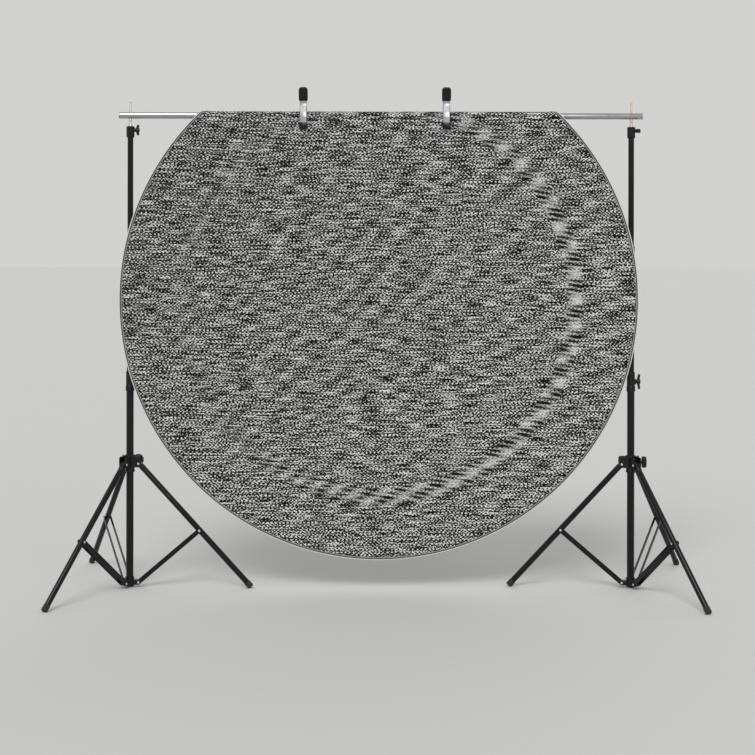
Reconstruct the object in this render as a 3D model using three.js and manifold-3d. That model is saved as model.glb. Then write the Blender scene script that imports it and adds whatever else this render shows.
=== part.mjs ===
// Round collapsible backdrop panel, folded over a sectional crossbar that stands on two folding stands.
// Millimetres. +Z is up from the floor, +X runs along the bar to the right, and the panel's face looks
// towards -Y.
import * as THREE from 'three';
import { mergeVertices } from 'three/addons/utils/BufferGeometryUtils.js';
import Module from 'manifold-3d';

const wasm = await Module();
wasm.setup();

// Fits
const fitGap = 0.3;
const seatGap = 0.4;
const cutOverrun = 3;
const weldSize = 0.0001;

// Panel. The bar lies above the panel's centre by a share of the panel's radius.
const panelRadius = 990;
const panelClearance = 110;
const foldRiseShare = 0.70808;
const panelOffset = -7;
const panelLean = THREE.MathUtils.degToRad(0.5);
const foldRadius = 18;
const clothThickness = 3;
const bindingWidth = 11;
const bindingWall = 0.8;
const hoopThickness = 1.2;
const hoopHeight = 3;

// Crossbar
const barOverhang = 40;
const barRadius = 12.5;
const barWall = 1.2;
const ferruleLength = 90;
const ferruleWall = 1.4;
const endCapRim = 3;
const endCapPlug = 18;

// Columns of the stands. The middle tube is drawn out by a share of the column above the lower tube.
const standInset = 33;
const standTurn = THREE.MathUtils.degToRad(-2.2);
const lowerTubeRadius = 14;
const middleTubeRadius = 12.5;
const upperTubeRadius = 11;
const tubeWall = 1.2;
const lowerTubeFoot = 7;
const lowerTubeTop = 765;
const middleOutShare = 0.5145;
const middleInsert = 183;
const upperInsert = 221;

// Lock collars: skirt below the outer tube's top, neck round the inner tube
const lockWall = 2.6;
const lockSkirt = 16;
const lowerLockNeck = 58;
const middleLockNeck = 42;

// Spigot and its socket, below the middle of the bar
const upperTubeDrop = 70;
const socketFootDrop = 85;
const socketTopDrop = 42;
const socketWall = 4.2;
const spigotRadius = 6.4;
const spigotFlangeRadius = 10;
const spigotFlangeHeight = 4;
const studRadius = 4;
const studRise = 58;
const studTip = 2;
const studHoleGap = 0.6;

// Clamping knobs
const screwRadius = 3;
const bossRadius = 7;
const bossReach = 4;
const knobHubRadius = 8;
const knobHubLength = 15;
const knobWingThickness = 7;
const lowerKnobSpan = 62;
const middleKnobSpan = 44;
const upperKnobSpan = 44;
const legKnobRadius = 21.5;
const legKnobThickness = 16;
const legKnobShank = 5.5;
const legKnobStandoff = 24;
const legKnobRibs = 12;
const legKnobRibDepth = 1.6;

// Legs
const legPivotRadius = 35;
const legPivotHeight = 471.5;
const footRadius = 469.5;
const legTubeRadius = 11;
const legWall = 1.2;
const legTubeSetback = 8;
const legTongueWidth = 20;
const legCount = 3;

// Leg collar, below and above the legs' pivots
const collarBelow = 31.5;
const collarAbove = 33.5;
const collarWall = 3.7;
const cheekThickness = 4;
const cheekMargin = 11;
const cheekBelow = 13.5;
const cheekAbove = 29.5;
const cheekCorner = 8;
const rivetRadius = 3;
const rivetHeadRadius = 4.8;
const rivetHeadHeight = 1.6;

// Foot hub
const hubPivotHeight = 19;
const hubFoot = 4;
const hubTop = 38;
const hubWall = 2.4;
const lugRadius = 9;

// Braces
const attachShare = 0.537;
const stripHalfWidth = 8;
const stripThickness = 2.2;

// Rubber feet
const bootWall = 0.9;
const bootLength = 24;
const bootSole = 9;
const soleTrim = 4;

// Clamps
const clampPlaces = { left: -296, right: 250 };
const armWidth = 27;
const armPlate = 1.6;
const earRadius = 7;
const earClearance = 0.8;
const handleRise = 80;
const neckRise = 24;
const neckOut = 17;
const handleSplay = 14;
const handleDepth = 9;
const jawDrop = 77;
const padHeight = 26;
const padWidth = 31;
const padWall = 2.5;
const padCorner = 8;
const jawFlange = 4;
const bowDrop = 22;
const gripWidth = 34;
const gripWall = 2;
const gripCorner = 13;
const gripStart = 31;
const pinRadius = 3;
const pinHeadRadius = 4.6;
const pinHeadHeight = 1.5;
const springWire = 1.8;
const springTurns = 4;
const springPitch = 2.5;
const springLeg = 14;

// Counts of facets
const tubeSides = 12;
const legSides = 10;
const holeSides = 8;
const cornerSteps = 2;
const clothRowCount = 16;
const clothColumnCount = 8;
const rimSteps = 40;
const foldSteps = 10;
const foldMarginShare = 0.25;
const springStepsPerTurn = 8;
const springSides = 5;

// Sizes that follow from those above
const panelCentreHeight = panelRadius + panelClearance;
const barHeight = panelCentreHeight + foldRiseShare * panelRadius;
const standSpacing = 2 * (panelRadius - standInset);
const barLength = standSpacing + 2 * barOverhang;
const studTop = barHeight + studRise;
const socketTop = barHeight - socketTopDrop;
const socketFoot = barHeight - socketFootDrop;
const upperTubeTop = barHeight - upperTubeDrop;
const middleTubeTop = lowerTubeTop + middleOutShare * (upperTubeTop - lowerTubeTop);
const middleTubeLength = middleTubeTop - lowerTubeTop + middleInsert;
const upperTubeLength = upperTubeTop - middleTubeTop + upperInsert;
const collarFoot = legPivotHeight - collarBelow;
const collarTop = legPivotHeight + collarAbove;
const cheekFoot = legPivotHeight - cheekBelow;
const cheekTop = legPivotHeight + cheekAbove;
const cheekReach = legPivotRadius + cheekMargin;
const bootRadius = legTubeRadius + fitGap + bootWall;
const lugWidth = 2 * (bootRadius + fitGap);

const quarterTurn = Math.PI / 2;
const halfTurn = Math.PI;
const fullTurn = Math.PI * 2;

// Colours
const black = { color: 0x141415, roughness: 0.3, metalness: 0.2 };
const blackPlastic = { color: 0x101011, roughness: 0.5, metalness: 0 };
const rubber = { color: 0x0d0d0d, roughness: 0.8, metalness: 0 };
const aluminium = { color: 0xb9bcc0, roughness: 0.3, metalness: 1 };
const zinc = { color: 0xc4c6c9, roughness: 0.35, metalness: 1 };
const brass = { color: 0xb8a468, roughness: 0.35, metalness: 1 };
const steel = { color: 0x8d9095, roughness: 0.35, metalness: 1 };
const greyCloth = { color: 0x747572, roughness: 0.95, metalness: 0 };
const bindingCloth = { color: 0x3a3b3b, roughness: 0.85, metalness: 0 };

// Geometry tools

function signedVolume(geometry) {
  const place = geometry.attributes.position;
  const corners = geometry.index.array;
  const [a, b, c] = [new THREE.Vector3(), new THREE.Vector3(), new THREE.Vector3()];
  let total = 0;
  for (let i = 0; i < corners.length; i += 3) {
    a.fromBufferAttribute(place, corners[i]);
    b.fromBufferAttribute(place, corners[i + 1]);
    c.fromBufferAttribute(place, corners[i + 2]);
    total += a.dot(b.cross(c));
  }
  return total;
}

// Welds the corners, drops triangles that have no area and turns the faces outwards.
function closed(geometry) {
  geometry.deleteAttribute('normal');
  geometry.deleteAttribute('uv');
  const welded = mergeVertices(geometry, weldSize);
  const corners = welded.index.array;
  const kept = [];
  for (let i = 0; i < corners.length; i += 3) {
    const [a, b, c] = [corners[i], corners[i + 1], corners[i + 2]];
    if (a !== b && b !== c && c !== a) kept.push(a, b, c);
  }
  welded.setIndex(kept);
  if (signedVolume(welded) < 0) welded.setIndex(kept.reverse());
  return welded;
}

function asSolid(geometry) {
  return new wasm.Manifold(new wasm.Mesh({
    numProp: 3,
    vertProperties: new Float32Array(geometry.attributes.position.array),
    triVerts: new Uint32Array(geometry.index.array),
  }));
}

function asGeometry(solid) {
  const mesh = solid.getMesh();
  const geometry = new THREE.BufferGeometry();
  geometry.setAttribute('position', new THREE.BufferAttribute(new Float32Array(mesh.vertProperties), 3));
  geometry.setIndex(new THREE.BufferAttribute(new Uint32Array(mesh.triVerts), 1));
  return geometry;
}

function joined(...pieces) {
  return asGeometry(pieces.map(asSolid).reduce((whole, piece) => whole.add(piece)));
}

function cut(piece, ...tools) {
  return asGeometry(tools.map(asSolid).reduce((whole, tool) => whole.subtract(tool), asSolid(piece)));
}

// A solid of revolution about Z from [radius, height] points, on the axis at both ends or once round a ring.
function turned(profile, sides) {
  const points = profile.map(([radius, height]) => new THREE.Vector2(radius, height));
  if (profile[0][0] !== 0) points.push(points[0].clone());
  return closed(new THREE.LatheGeometry(points, sides).rotateX(quarterTurn));
}

function rod(radius, low, high, sides) {
  return turned([[0, low], [radius, low], [radius, high], [0, high]], sides);
}

function tube(outer, inner, low, high, sides) {
  return turned([[inner, low], [outer, low], [outer, high], [inner, high]], sides);
}

function block(low, high) {
  const size = high.map((value, i) => value - low[i]);
  const middle = high.map((value, i) => (value + low[i]) / 2);
  return closed(new THREE.BoxGeometry(...size).translate(...middle));
}

// A flat outline given thickness along the third axis, centred on it.
function plate(shape, thickness) {
  const settings = { depth: thickness, bevelEnabled: false, curveSegments: cornerSteps };
  return closed(new THREE.ExtrudeGeometry(shape, settings).translate(0, 0, -thickness / 2));
}

function outline(points) {
  return new THREE.Shape(points.map(([a, b]) => new THREE.Vector2(a, b)));
}

// Outline axes to world axes: radial and up, with the thickness across.
function upright(geometry) {
  return geometry.rotateX(quarterTurn);
}

// Outline axes to world axes: depth and up, with the thickness along the bar.
function sideways(geometry) {
  const turn = new THREE.Matrix4().makeBasis(
    new THREE.Vector3(0, 1, 0), new THREE.Vector3(0, 0, 1), new THREE.Vector3(1, 0, 0));
  return geometry.applyMatrix4(turn);
}

function alongX(geometry) {
  return geometry.rotateY(quarterTurn);
}

function alongY(geometry) {
  return geometry.rotateX(quarterTurn);
}

// A box outline with its four corners rounded.
function roundedBox(left, right, foot, top, corner) {
  const shape = new THREE.Shape();
  shape.moveTo(left + corner, foot);
  shape.lineTo(right - corner, foot);
  shape.absarc(right - corner, foot + corner, corner, -quarterTurn, 0);
  shape.lineTo(right, top - corner);
  shape.absarc(right - corner, top - corner, corner, 0, quarterTurn);
  shape.lineTo(left + corner, top);
  shape.absarc(left + corner, top - corner, corner, quarterTurn, halfTurn);
  shape.lineTo(left, foot + corner);
  shape.absarc(left + corner, foot + corner, corner, halfTurn, halfTurn + quarterTurn);
  return shape;
}

function mesh(name, geometry, look) {
  const piece = new THREE.Mesh(geometry, new THREE.MeshStandardMaterial(look));
  piece.name = name;
  return piece;
}

// Shares that shape the small parts: a wing knob's wings, a leg's tongue, a knob's place and a spring's end
const wingFootShare = 0.1;
const wingRootShare = 0.55;
const wingNeckShare = 0.6;
const wingTipShare = 0.8;
const tongueShare = 0.8;
const lowerKnobShare = 0.38;
const springLegShares = [0.3, 0.65, 1];

const model = new THREE.Group();

// Crossbar: two tubes joined end to end over an inner ferrule, capped at both outer ends.

// One half of the bar, from its middle out to the end, with the hole that the stand's stud passes through.
function crossbarSection() {
  const hollow = tube(barRadius, barRadius - barWall, fitGap / 2, barLength / 2, tubeSides);
  const studHole = rod(studRadius + studHoleGap, -barRadius - cutOverrun, barRadius + cutOverrun, holeSides);
  return cut(alongX(hollow), studHole.translate(standSpacing / 2, 0, 0));
}

function crossbarFerrule() {
  const outer = barRadius - barWall - fitGap;
  return alongX(tube(outer, outer - ferruleWall, -ferruleLength / 2, ferruleLength / 2, tubeSides));
}

function crossbarEndCap() {
  const plug = barRadius - barWall - fitGap;
  const start = barLength / 2 + fitGap;
  return alongX(turned([
    [0, start - endCapPlug], [plug, start - endCapPlug], [plug, start], [barRadius, start],
    [barRadius, start + endCapRim], [0, start + endCapRim],
  ], tubeSides));
}

const crossbar = new THREE.Group();
crossbar.position.z = barHeight;
crossbar.add(
  mesh('crossbar_left_section', crossbarSection().rotateZ(halfTurn), aluminium),
  mesh('crossbar_right_section', crossbarSection(), aluminium),
  mesh('crossbar_ferrule', crossbarFerrule(), steel),
  mesh('crossbar_left_cap', crossbarEndCap().rotateZ(halfTurn), aluminium),
  mesh('crossbar_right_cap', crossbarEndCap(), aluminium),
);
model.add(crossbar);

// Panel, worked out flat and laid over the bar.
// along is the distance from the crown of the fold, minus down the front and plus down the back.
// lift is the distance out from the middle of the cloth.

const clothHalf = clothThickness / 2;
const bindingHalf = clothHalf + fitGap + bindingWall;
const foldCentreHeight = barHeight + barRadius + seatGap + bindingHalf - foldRadius;
const frontTurn = quarterTurn - panelLean;
const centreAlong = -foldRadius * frontTurn - (foldCentreHeight - panelCentreHeight) / Math.cos(panelLean);

function laid(across, along, lift) {
  const turn = THREE.MathUtils.clamp(-along / foldRadius, -quarterTurn, frontTurn);
  const straight = -along - turn * foldRadius;
  const y = -(foldRadius + lift) * Math.sin(turn) - straight * Math.cos(turn);
  const z = foldCentreHeight + (foldRadius + lift) * Math.cos(turn) - straight * Math.sin(turn);
  return [panelOffset + across, y, z];
}

// Places along the cloth that follow the fold closely, from its back end over the crown to its front end.
function foldPlaces() {
  const reach = foldRadius * quarterTurn;
  return Array.from({ length: foldSteps + 1 }, (_, i) => reach - 2 * reach * i / foldSteps);
}

function clothRows(radius) {
  const fold = foldPlaces();
  const ends = Math.acos(1 - bindingWidth / (2 * radius));
  const rows = Array.from({ length: clothRowCount + 1 }, (_, i) => {
    const angle = ends + (halfTurn - 2 * ends) * i / clothRowCount;
    return centreAlong + radius * Math.cos(angle);
  });
  const clear = rows.filter((along) => Math.abs(along) > fold[0] + bindingWidth);
  return [...clear, ...fold].sort((a, b) => b - a);
}

// A closed sheet between two lifts: rows of the disc, each as wide as the disc is there.
function clothSheet(radius, columns, lowLift, highLift) {
  const rows = clothRows(radius);
  const across = columns + 1;
  const places = [];
  for (const lift of [highLift, lowLift]) {
    for (const along of rows) {
      const halfWidth = Math.sqrt(radius ** 2 - (along - centreAlong) ** 2);
      for (let j = 0; j < across; j += 1) {
        places.push(...laid(halfWidth * (2 * j / columns - 1), along, lift));
      }
    }
  }
  const under = rows.length * across;
  const corners = [];
  const quad = (a, b, c, d) => corners.push(a, b, c, a, c, d);
  for (let i = 0; i + 1 < rows.length; i += 1) {
    for (let j = 0; j < columns; j += 1) {
      const a = i * across + j;
      quad(a, a + 1, a + across + 1, a + across);
      quad(under + a, under + a + across, under + a + across + 1, under + a + 1);
    }
    const [left, right] = [i * across, i * across + columns];
    quad(left, left + across, under + left + across, under + left);
    quad(right, under + right, under + right + across, right + across);
  }
  for (let j = 0; j < columns; j += 1) {
    const last = (rows.length - 1) * across + j;
    quad(j, under + j, under + j + 1, j + 1);
    quad(last, last + 1, under + last + 1, under + last);
  }
  const geometry = new THREE.BufferGeometry();
  geometry.setAttribute('position', new THREE.Float32BufferAttribute(places, 3));
  geometry.setIndex(corners);
  return closed(geometry);
}

// Stations round the rim from the top of the flat disc. Each gives the angle at a radius. Over the fold a
// station keeps to one place along the cloth, so that it lies straight on the bar.
function rimStations() {
  const fold = foldPlaces();
  const over = fold.map((along) => (radius) => Math.acos((along - centreAlong) / radius));
  const step = fullTurn / rimSteps;
  const margin = step * foldMarginShare;
  const [first, last] = [over[0](panelRadius) - margin, over[foldSteps](panelRadius) + margin];
  const even = Array.from({ length: rimSteps }, (_, i) => i * step).filter((angle) => {
    const folded = Math.min(angle, fullTurn - angle);
    return folded < first || folded > last;
  });
  const mirrored = over.map((angleAt) => (radius) => fullTurn - angleAt(radius));
  const stations = [...even.map((angle) => () => angle), ...over, ...mirrored];
  return stations.sort((a, b) => a(panelRadius) - b(panelRadius));
}

// A closed rail round the rim. The section is [radius, lift] corners.
function rimRail(section) {
  const stations = rimStations();
  const places = [];
  for (const angleAt of stations) {
    for (const [radius, lift] of section) {
      const angle = angleAt(radius);
      places.push(...laid(radius * Math.sin(angle), centreAlong + radius * Math.cos(angle), lift));
    }
  }
  const count = section.length;
  const corners = [];
  for (let i = 0; i < stations.length; i += 1) {
    const next = (i + 1) % stations.length;
    for (let j = 0; j < count; j += 1) {
      const following = (j + 1) % count;
      const [a, b] = [i * count + j, i * count + following];
      const [c, d] = [next * count + following, next * count + j];
      corners.push(a, b, c, a, c, d);
    }
  }
  const geometry = new THREE.BufferGeometry();
  geometry.setAttribute('position', new THREE.Float32BufferAttribute(places, 3));
  geometry.setIndex(corners);
  return closed(geometry);
}

const hoopOuter = panelRadius - bindingWall - fitGap;
const hoopInner = hoopOuter - hoopThickness;
const clothRadius = hoopInner * Math.cos((1 + foldMarginShare) * halfTurn / rimSteps) - fitGap;

function rimBinding() {
  const slot = bindingHalf - bindingWall;
  const [edge, wall] = [panelRadius, panelRadius - bindingWall];
  const mouth = panelRadius - bindingWidth;
  return rimRail([
    [mouth, bindingHalf], [edge, bindingHalf], [edge, -bindingHalf], [mouth, -bindingHalf],
    [mouth, -slot], [wall, -slot], [wall, slot], [mouth, slot],
  ]);
}

function springHoop() {
  const half = hoopHeight / 2;
  return rimRail([[hoopInner, -half], [hoopOuter, -half], [hoopOuter, half], [hoopInner, half]]);
}

const panel = new THREE.Group();
panel.add(
  mesh('panel_cloth', clothSheet(clothRadius, clothColumnCount, -clothHalf, clothHalf), greyCloth),
  mesh('panel_rim_binding', rimBinding(), bindingCloth),
  mesh('panel_spring_hoop', springHoop(), steel),
);
model.add(panel);

// Clamps. Each pair of arms turns on a pin just above the fold, and its jaw pads press on the cloth below
// the bar.
// Arm outlines are [depth, height] from the pin, for the front arm, whose depth runs towards -Y.

const pinHeight = foldCentreHeight + foldRadius + clothHalf + earClearance + earRadius;
const padDrop = jawDrop - (pinHeight - foldCentreHeight);
const jawInner = (foldRadius + clothHalf) / Math.cos(panelLean) + padDrop * Math.tan(panelLean) + fitGap;
const armInner = jawInner + padWall;
const armOuter = armInner + jawFlange;
const armEnd = jawDrop - padWall;
const shoulderOutShare = 0.65;
const shoulderDropShare = 0.45;
const earShare = 0.6;

function clampArm(width) {
  const handleTop = [-(neckOut + handleSplay), handleRise];
  const neck = [-neckOut, neckRise];
  const webLine = [handleTop, neck, [-armOuter, -bowDrop], [-armOuter, -armEnd]];
  const webBack = webLine.map(([depth, height]) => [depth + armPlate, height]).reverse();
  const web = sideways(plate(outline([...webLine, ...webBack]), width));
  const flangeOutline = outline([
    ...webLine, [-armInner, -armEnd], [-armInner, -bowDrop],
    [-armInner * shoulderOutShare, -bowDrop * shoulderDropShare], [0, -earRadius * earShare],
    [0, earRadius * earShare], [neck[0] + handleDepth, neckRise], [handleTop[0] + handleDepth, handleRise],
  ]);
  const sides = [-1, 1].map((side) => {
    const middle = side * (width - armPlate) / 2;
    const ear = alongX(rod(earRadius, middle - armPlate / 2, middle + armPlate / 2, legSides));
    return joined(sideways(plate(flangeOutline, armPlate)).translate(middle, 0, 0), ear);
  });
  const pinHole = alongX(rod(pinRadius + fitGap, -width, width, holeSides));
  return cut(joined(web, ...sides, clampGrip(width), clampPad(width)), pinHole);
}

// The vinyl grip is dipped over the top of the handle, with rounded outer corners.
function clampGrip(width) {
  const lean = Math.atan2(handleSplay, handleRise - neckRise);
  const length = (handleRise - neckRise) / Math.cos(lean);
  const start = (gripStart - neckRise) / Math.cos(lean);
  const depth = handleDepth * Math.cos(lean);
  const half = (gripWidth - armWidth + width) / 2;
  const shape = roundedBox(-half, half, start - gripCorner, length + gripWall, gripCorner);
  const shell = upright(plate(shape, depth + 2 * gripWall)).translate(0, depth / 2, 0);
  const below = block([-gripWidth, -gripWidth, start - gripWidth], [gripWidth, gripWidth, start]);
  return cut(shell, below).rotateX(lean).translate(0, -neckOut, neckRise);
}

// The jaw pad is dipped over the arm's lower end, with rounded lower corners.
function clampPad(width) {
  const half = (padWidth - armWidth + width) / 2;
  const outer = armOuter + padWall;
  const padTop = padHeight - jawDrop;
  const shape = roundedBox(-half, half, -jawDrop, padTop + padCorner, padCorner);
  const shell = upright(plate(shape, outer - jawInner));
  const above = block([-padWidth, -outer - cutOverrun, padTop], [padWidth, 0, padTop + padWidth]);
  return cut(shell.translate(0, -(outer + jawInner) / 2, 0), above);
}

function clampPin() {
  const half = armWidth / 2 + fitGap;
  const end = half + pinHeadHeight;
  return alongX(turned([
    [0, -end], [pinHeadRadius, -end], [pinHeadRadius, -half], [pinRadius, -half],
    [pinRadius, half], [pinHeadRadius, half], [pinHeadRadius, end], [0, end],
  ], legSides));
}

// A torsion spring round the pin: a helix along X whose last end runs off to lie along the rear handle.
function clampSpring() {
  const radius = pinRadius + fitGap + springWire / 2;
  const steps = springTurns * springStepsPerTurn;
  const path = [];
  for (let i = 0; i <= steps; i += 1) {
    const turn = i / springStepsPerTurn;
    const [y, z] = [radius * Math.cos(turn * fullTurn), radius * Math.sin(turn * fullTurn)];
    path.push(new THREE.Vector3(springPitch * (turn - springTurns / 2), y, z));
  }
  const end = path[path.length - 1];
  for (const share of springLegShares) {
    path.push(new THREE.Vector3(end.x, end.y, end.z + springLeg * share));
  }
  let least = Infinity;
  for (let i = 0; i <= steps; i += 1) {
    for (let j = i + springStepsPerTurn / 2; j <= steps; j += 1) {
      least = Math.min(least, path[i].distanceTo(path[j]) - springWire);
    }
  }
  console.log(`clamp spring: least gap between turns ${least.toFixed(2)} mm`);
  const section = new THREE.Shape();
  for (let i = 0; i < springSides; i += 1) {
    const angle = fullTurn * i / springSides;
    const corner = [springWire / 2 * Math.cos(angle), springWire / 2 * Math.sin(angle)];
    if (i === 0) section.moveTo(...corner);
    else section.lineTo(...corner);
  }
  section.closePath();
  const extrudePath = new THREE.CatmullRomCurve3(path);
  const settings = { steps: path.length - 1, extrudePath, bevelEnabled: false };
  return closed(new THREE.ExtrudeGeometry(section, settings));
}

const rearWidth = armWidth - 2 * (armPlate + fitGap);
for (const [side, x] of Object.entries(clampPlaces)) {
  const clamp = new THREE.Group();
  clamp.position.set(x, 0, pinHeight);
  clamp.add(
    mesh(`${side}_clamp_front_arm`, clampArm(armWidth), zinc),
    mesh(`${side}_clamp_rear_arm`, clampArm(rearWidth).rotateZ(halfTurn), zinc),
    mesh(`${side}_clamp_pin`, clampPin(), steel),
    mesh(`${side}_clamp_spring`, clampSpring(), steel),
  );
  model.add(clamp);
}

// Stands. Each is worked out on its own column, with its first leg along +X.

const legAngle = Math.atan2(footRadius - legPivotRadius, legPivotHeight);
const legAxis = legPivotHeight / Math.cos(legAngle);
const bootEnd = (legPivotHeight + soleTrim) / Math.cos(legAngle) - bootRadius * Math.tan(legAngle);
const legEnd = bootEnd - bootSole - fitGap;
const attachRadius = legPivotRadius + attachShare * (footRadius - legPivotRadius);
const attachHeight = legPivotHeight * (1 - attachShare);
const braceLength = Math.hypot(attachRadius - legPivotRadius, attachHeight - hubPivotHeight);
const braceAngle = Math.atan2(attachRadius - legPivotRadius, attachHeight - hubPivotHeight);
const collarRise = attachShare * legAxis + braceLength - (legPivotHeight - hubPivotHeight);

function crossHole(radius, reach) {
  return alongY(rod(radius, -reach, reach, holeSides));
}

// Rivets lie across each leg or brace: a shank with a head at both ends.
function rivet(halfGrip) {
  const end = halfGrip + rivetHeadHeight;
  return alongY(turned([
    [0, -end], [rivetHeadRadius, -end], [rivetHeadRadius, -halfGrip], [rivetRadius, -halfGrip],
    [rivetRadius, halfGrip], [rivetHeadRadius, halfGrip], [rivetHeadRadius, end], [0, end],
  ], holeSides));
}

function aroundColumn(makePiece) {
  return Array.from({ length: legCount }, (_, i) => makePiece().rotateZ(i * fullTurn / legCount));
}

function screwBoss(inner, reach, azimuth, height) {
  return alongX(rod(bossRadius, inner, reach, legSides)).rotateZ(azimuth).translate(0, 0, height);
}

function screwHole(reach, azimuth, height) {
  const hole = alongX(rod(screwRadius + fitGap, 0, reach + cutOverrun, holeSides));
  return hole.rotateZ(azimuth).translate(0, 0, height);
}

const cheekMiddle = legTubeRadius + fitGap * 2 + cheekThickness / 2;
const collarRadius = lowerTubeRadius + fitGap + collarWall;
const legKnobHeight = (cheekFoot + cheekTop) / 2;
const legBossReach = collarRadius + bossReach;

function legCollar(knobAzimuth) {
  const bore = lowerTubeRadius + fitGap;
  const sleeve = rod(collarRadius, collarFoot, collarTop, tubeSides);
  const cheeks = aroundColumn(() => {
    const shape = roundedBox(collarRadius - cheekCorner * 2, cheekReach, cheekFoot, cheekTop, cheekCorner);
    const pair = [-1, 1].map((side) => {
      return upright(plate(shape, cheekThickness)).translate(0, side * cheekMiddle, 0);
    });
    const hole = crossHole(rivetRadius + fitGap, cheekMiddle + cheekThickness);
    return cut(joined(...pair), hole.translate(legPivotRadius, 0, legPivotHeight));
  });
  const boss = screwBoss(0, legBossReach, knobAzimuth, legKnobHeight);
  const through = rod(bore, collarFoot - cutOverrun, collarTop + cutOverrun, tubeSides);
  return cut(joined(sleeve, ...cheeks, boss), through, screwHole(legBossReach, knobAzimuth, legKnobHeight));
}

function footHub() {
  const socket = lowerTubeRadius + fitGap;
  const sleeve = rod(socket + hubWall, hubFoot, hubTop, tubeSides);
  const lugs = aroundColumn(() => {
    const shape = new THREE.Shape();
    shape.moveTo(0, hubPivotHeight - lugRadius);
    shape.lineTo(legPivotRadius, hubPivotHeight - lugRadius);
    shape.absarc(legPivotRadius, hubPivotHeight, lugRadius, -quarterTurn, quarterTurn);
    shape.lineTo(0, hubPivotHeight + lugRadius);
    const hole = crossHole(rivetRadius + fitGap, lugWidth).translate(legPivotRadius, 0, hubPivotHeight);
    return cut(upright(plate(shape, lugWidth)), hole);
  });
  return cut(joined(sleeve, ...lugs), rod(socket, lowerTubeFoot - fitGap, hubTop + cutOverrun, tubeSides));
}

// A leg hangs from its pivot along -Z: a riveted tongue between the collar's cheeks, then an open tube.
function leg() {
  const bore = legTubeRadius - legWall;
  const boreTop = -legTubeSetback - 2 * legTubeRadius;
  const shell = turned([
    [0, -legTubeSetback], [legTubeRadius, -legTubeSetback], [legTubeRadius, -legEnd], [bore, -legEnd],
    [bore, boreTop], [0, boreTop],
  ], legSides);
  const tongue = alongY(rod(legTubeRadius, -legTongueWidth / 2, legTongueWidth / 2, legSides));
  const neck = block([-legTubeRadius * tongueShare, -legTongueWidth / 2, -legTubeSetback - legTubeRadius],
    [legTubeRadius * tongueShare, legTongueWidth / 2, 0]);
  return joined(shell, tongue, neck, rivet(cheekMiddle + cheekThickness / 2 + fitGap));
}

// The rubber foot is a cup over the leg's end, cut level where it stands.
function boot() {
  const inner = legTubeRadius + fitGap;
  const cup = turned([
    [0, -bootEnd], [bootRadius, -bootEnd], [bootRadius, bootLength - bootEnd], [inner, bootLength - bootEnd],
    [inner, bootSole - bootEnd], [0, bootSole - bootEnd],
  ], legSides);
  const floor = -legPivotHeight;
  const below = block([-bootLength, -bootLength, floor - bootLength], [bootLength, bootLength, floor]);
  return cut(cup, below.translate(legAxis * Math.sin(legAngle), 0, 0).rotateY(legAngle));
}

// A brace is two flat strips on either side of the lug and the leg. One rivet holds them through the lug,
// and each has a rivet head at its leg end.
function brace() {
  const inner = lugWidth / 2 + fitGap;
  const strips = [-1, 1].map((side) => {
    const shape = new THREE.Shape();
    shape.absarc(0, 0, stripHalfWidth, halfTurn, fullTurn);
    shape.absarc(0, braceLength, stripHalfWidth, 0, halfTurn);
    const strip = upright(plate(shape, stripThickness)).translate(0, side * (inner + stripThickness / 2), 0);
    const head = alongY(rod(rivetHeadRadius, -rivetHeadHeight, rivetHeadHeight, holeSides));
    return joined(strip, head.translate(0, side * (inner + stripThickness), braceLength));
  });
  return joined(...strips, rivet(inner + stripThickness));
}

// A lock collar steps from the outer tube to the inner one that it clamps.
function lockCollar(outer, inner, top, neckHeight, knobAzimuth, knobHeight) {
  const skirt = outer + fitGap + lockWall;
  const neck = inner + fitGap + lockWall;
  const body = turned([
    [outer + fitGap, top - lockSkirt], [skirt, top - lockSkirt], [skirt, top + lockWall],
    [neck, top + lockWall * 2], [neck, top + neckHeight], [inner + fitGap, top + neckHeight],
    [inner + fitGap, top + fitGap], [outer + fitGap, top + fitGap],
  ], tubeSides);
  const [low, high] = [knobHeight - bossRadius * 2, knobHeight + bossRadius * 2];
  const boss = cut(screwBoss(0, skirt + bossReach, knobAzimuth, knobHeight),
    rod(inner + fitGap + lockWall / 2, low, high, tubeSides));
  return cut(joined(body, boss), screwHole(skirt + bossReach, knobAzimuth, knobHeight));
}

// A winged knob: hub and screw along +X from the tube that it presses on, with the wings upright.
function wingKnob(pressRadius, bossEnd, span) {
  const start = bossEnd + fitGap;
  const hub = rod(knobHubRadius, start, start + knobHubLength, legSides);
  const screw = rod(screwRadius, pressRadius + fitGap, start + fitGap, holeSides);
  const [root, tip] = [knobHubRadius, span / 2];
  const wing = [
    [start + knobHubLength * wingFootShare, -root],
    [start + knobHubLength * wingRootShare, -tip],
    [start + knobHubLength, -tip * wingTipShare],
    [start + knobHubLength * wingNeckShare, -root * wingNeckShare],
  ];
  const shape = outline([...wing, ...wing.map(([x, z]) => [x, -z]).reverse()]);
  return joined(alongX(hub), alongX(screw), upright(plate(shape, knobWingThickness)));
}

// The leg collar's knob is a ribbed disc on a longer shank.
function ribbedKnob(pressRadius, bossEnd) {
  const start = bossEnd + fitGap;
  const face = start + legKnobStandoff - bossReach;
  const shape = new THREE.Shape();
  for (let i = 0; i < 2 * legKnobRibs; i += 1) {
    const radius = legKnobRadius - (i % 2) * legKnobRibDepth;
    const angle = halfTurn * i / legKnobRibs;
    const corner = [radius * Math.cos(angle), radius * Math.sin(angle)];
    if (i === 0) shape.moveTo(...corner);
    else shape.lineTo(...corner);
  }
  shape.closePath();
  const disc = plate(shape, legKnobThickness).translate(0, 0, face + legKnobThickness / 2);
  const shank = rod(legKnobShank, start, face + fitGap, legSides);
  const screw = rod(screwRadius, pressRadius + fitGap, start + fitGap, holeSides);
  return joined(alongX(disc), alongX(shank), alongX(screw));
}

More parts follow.
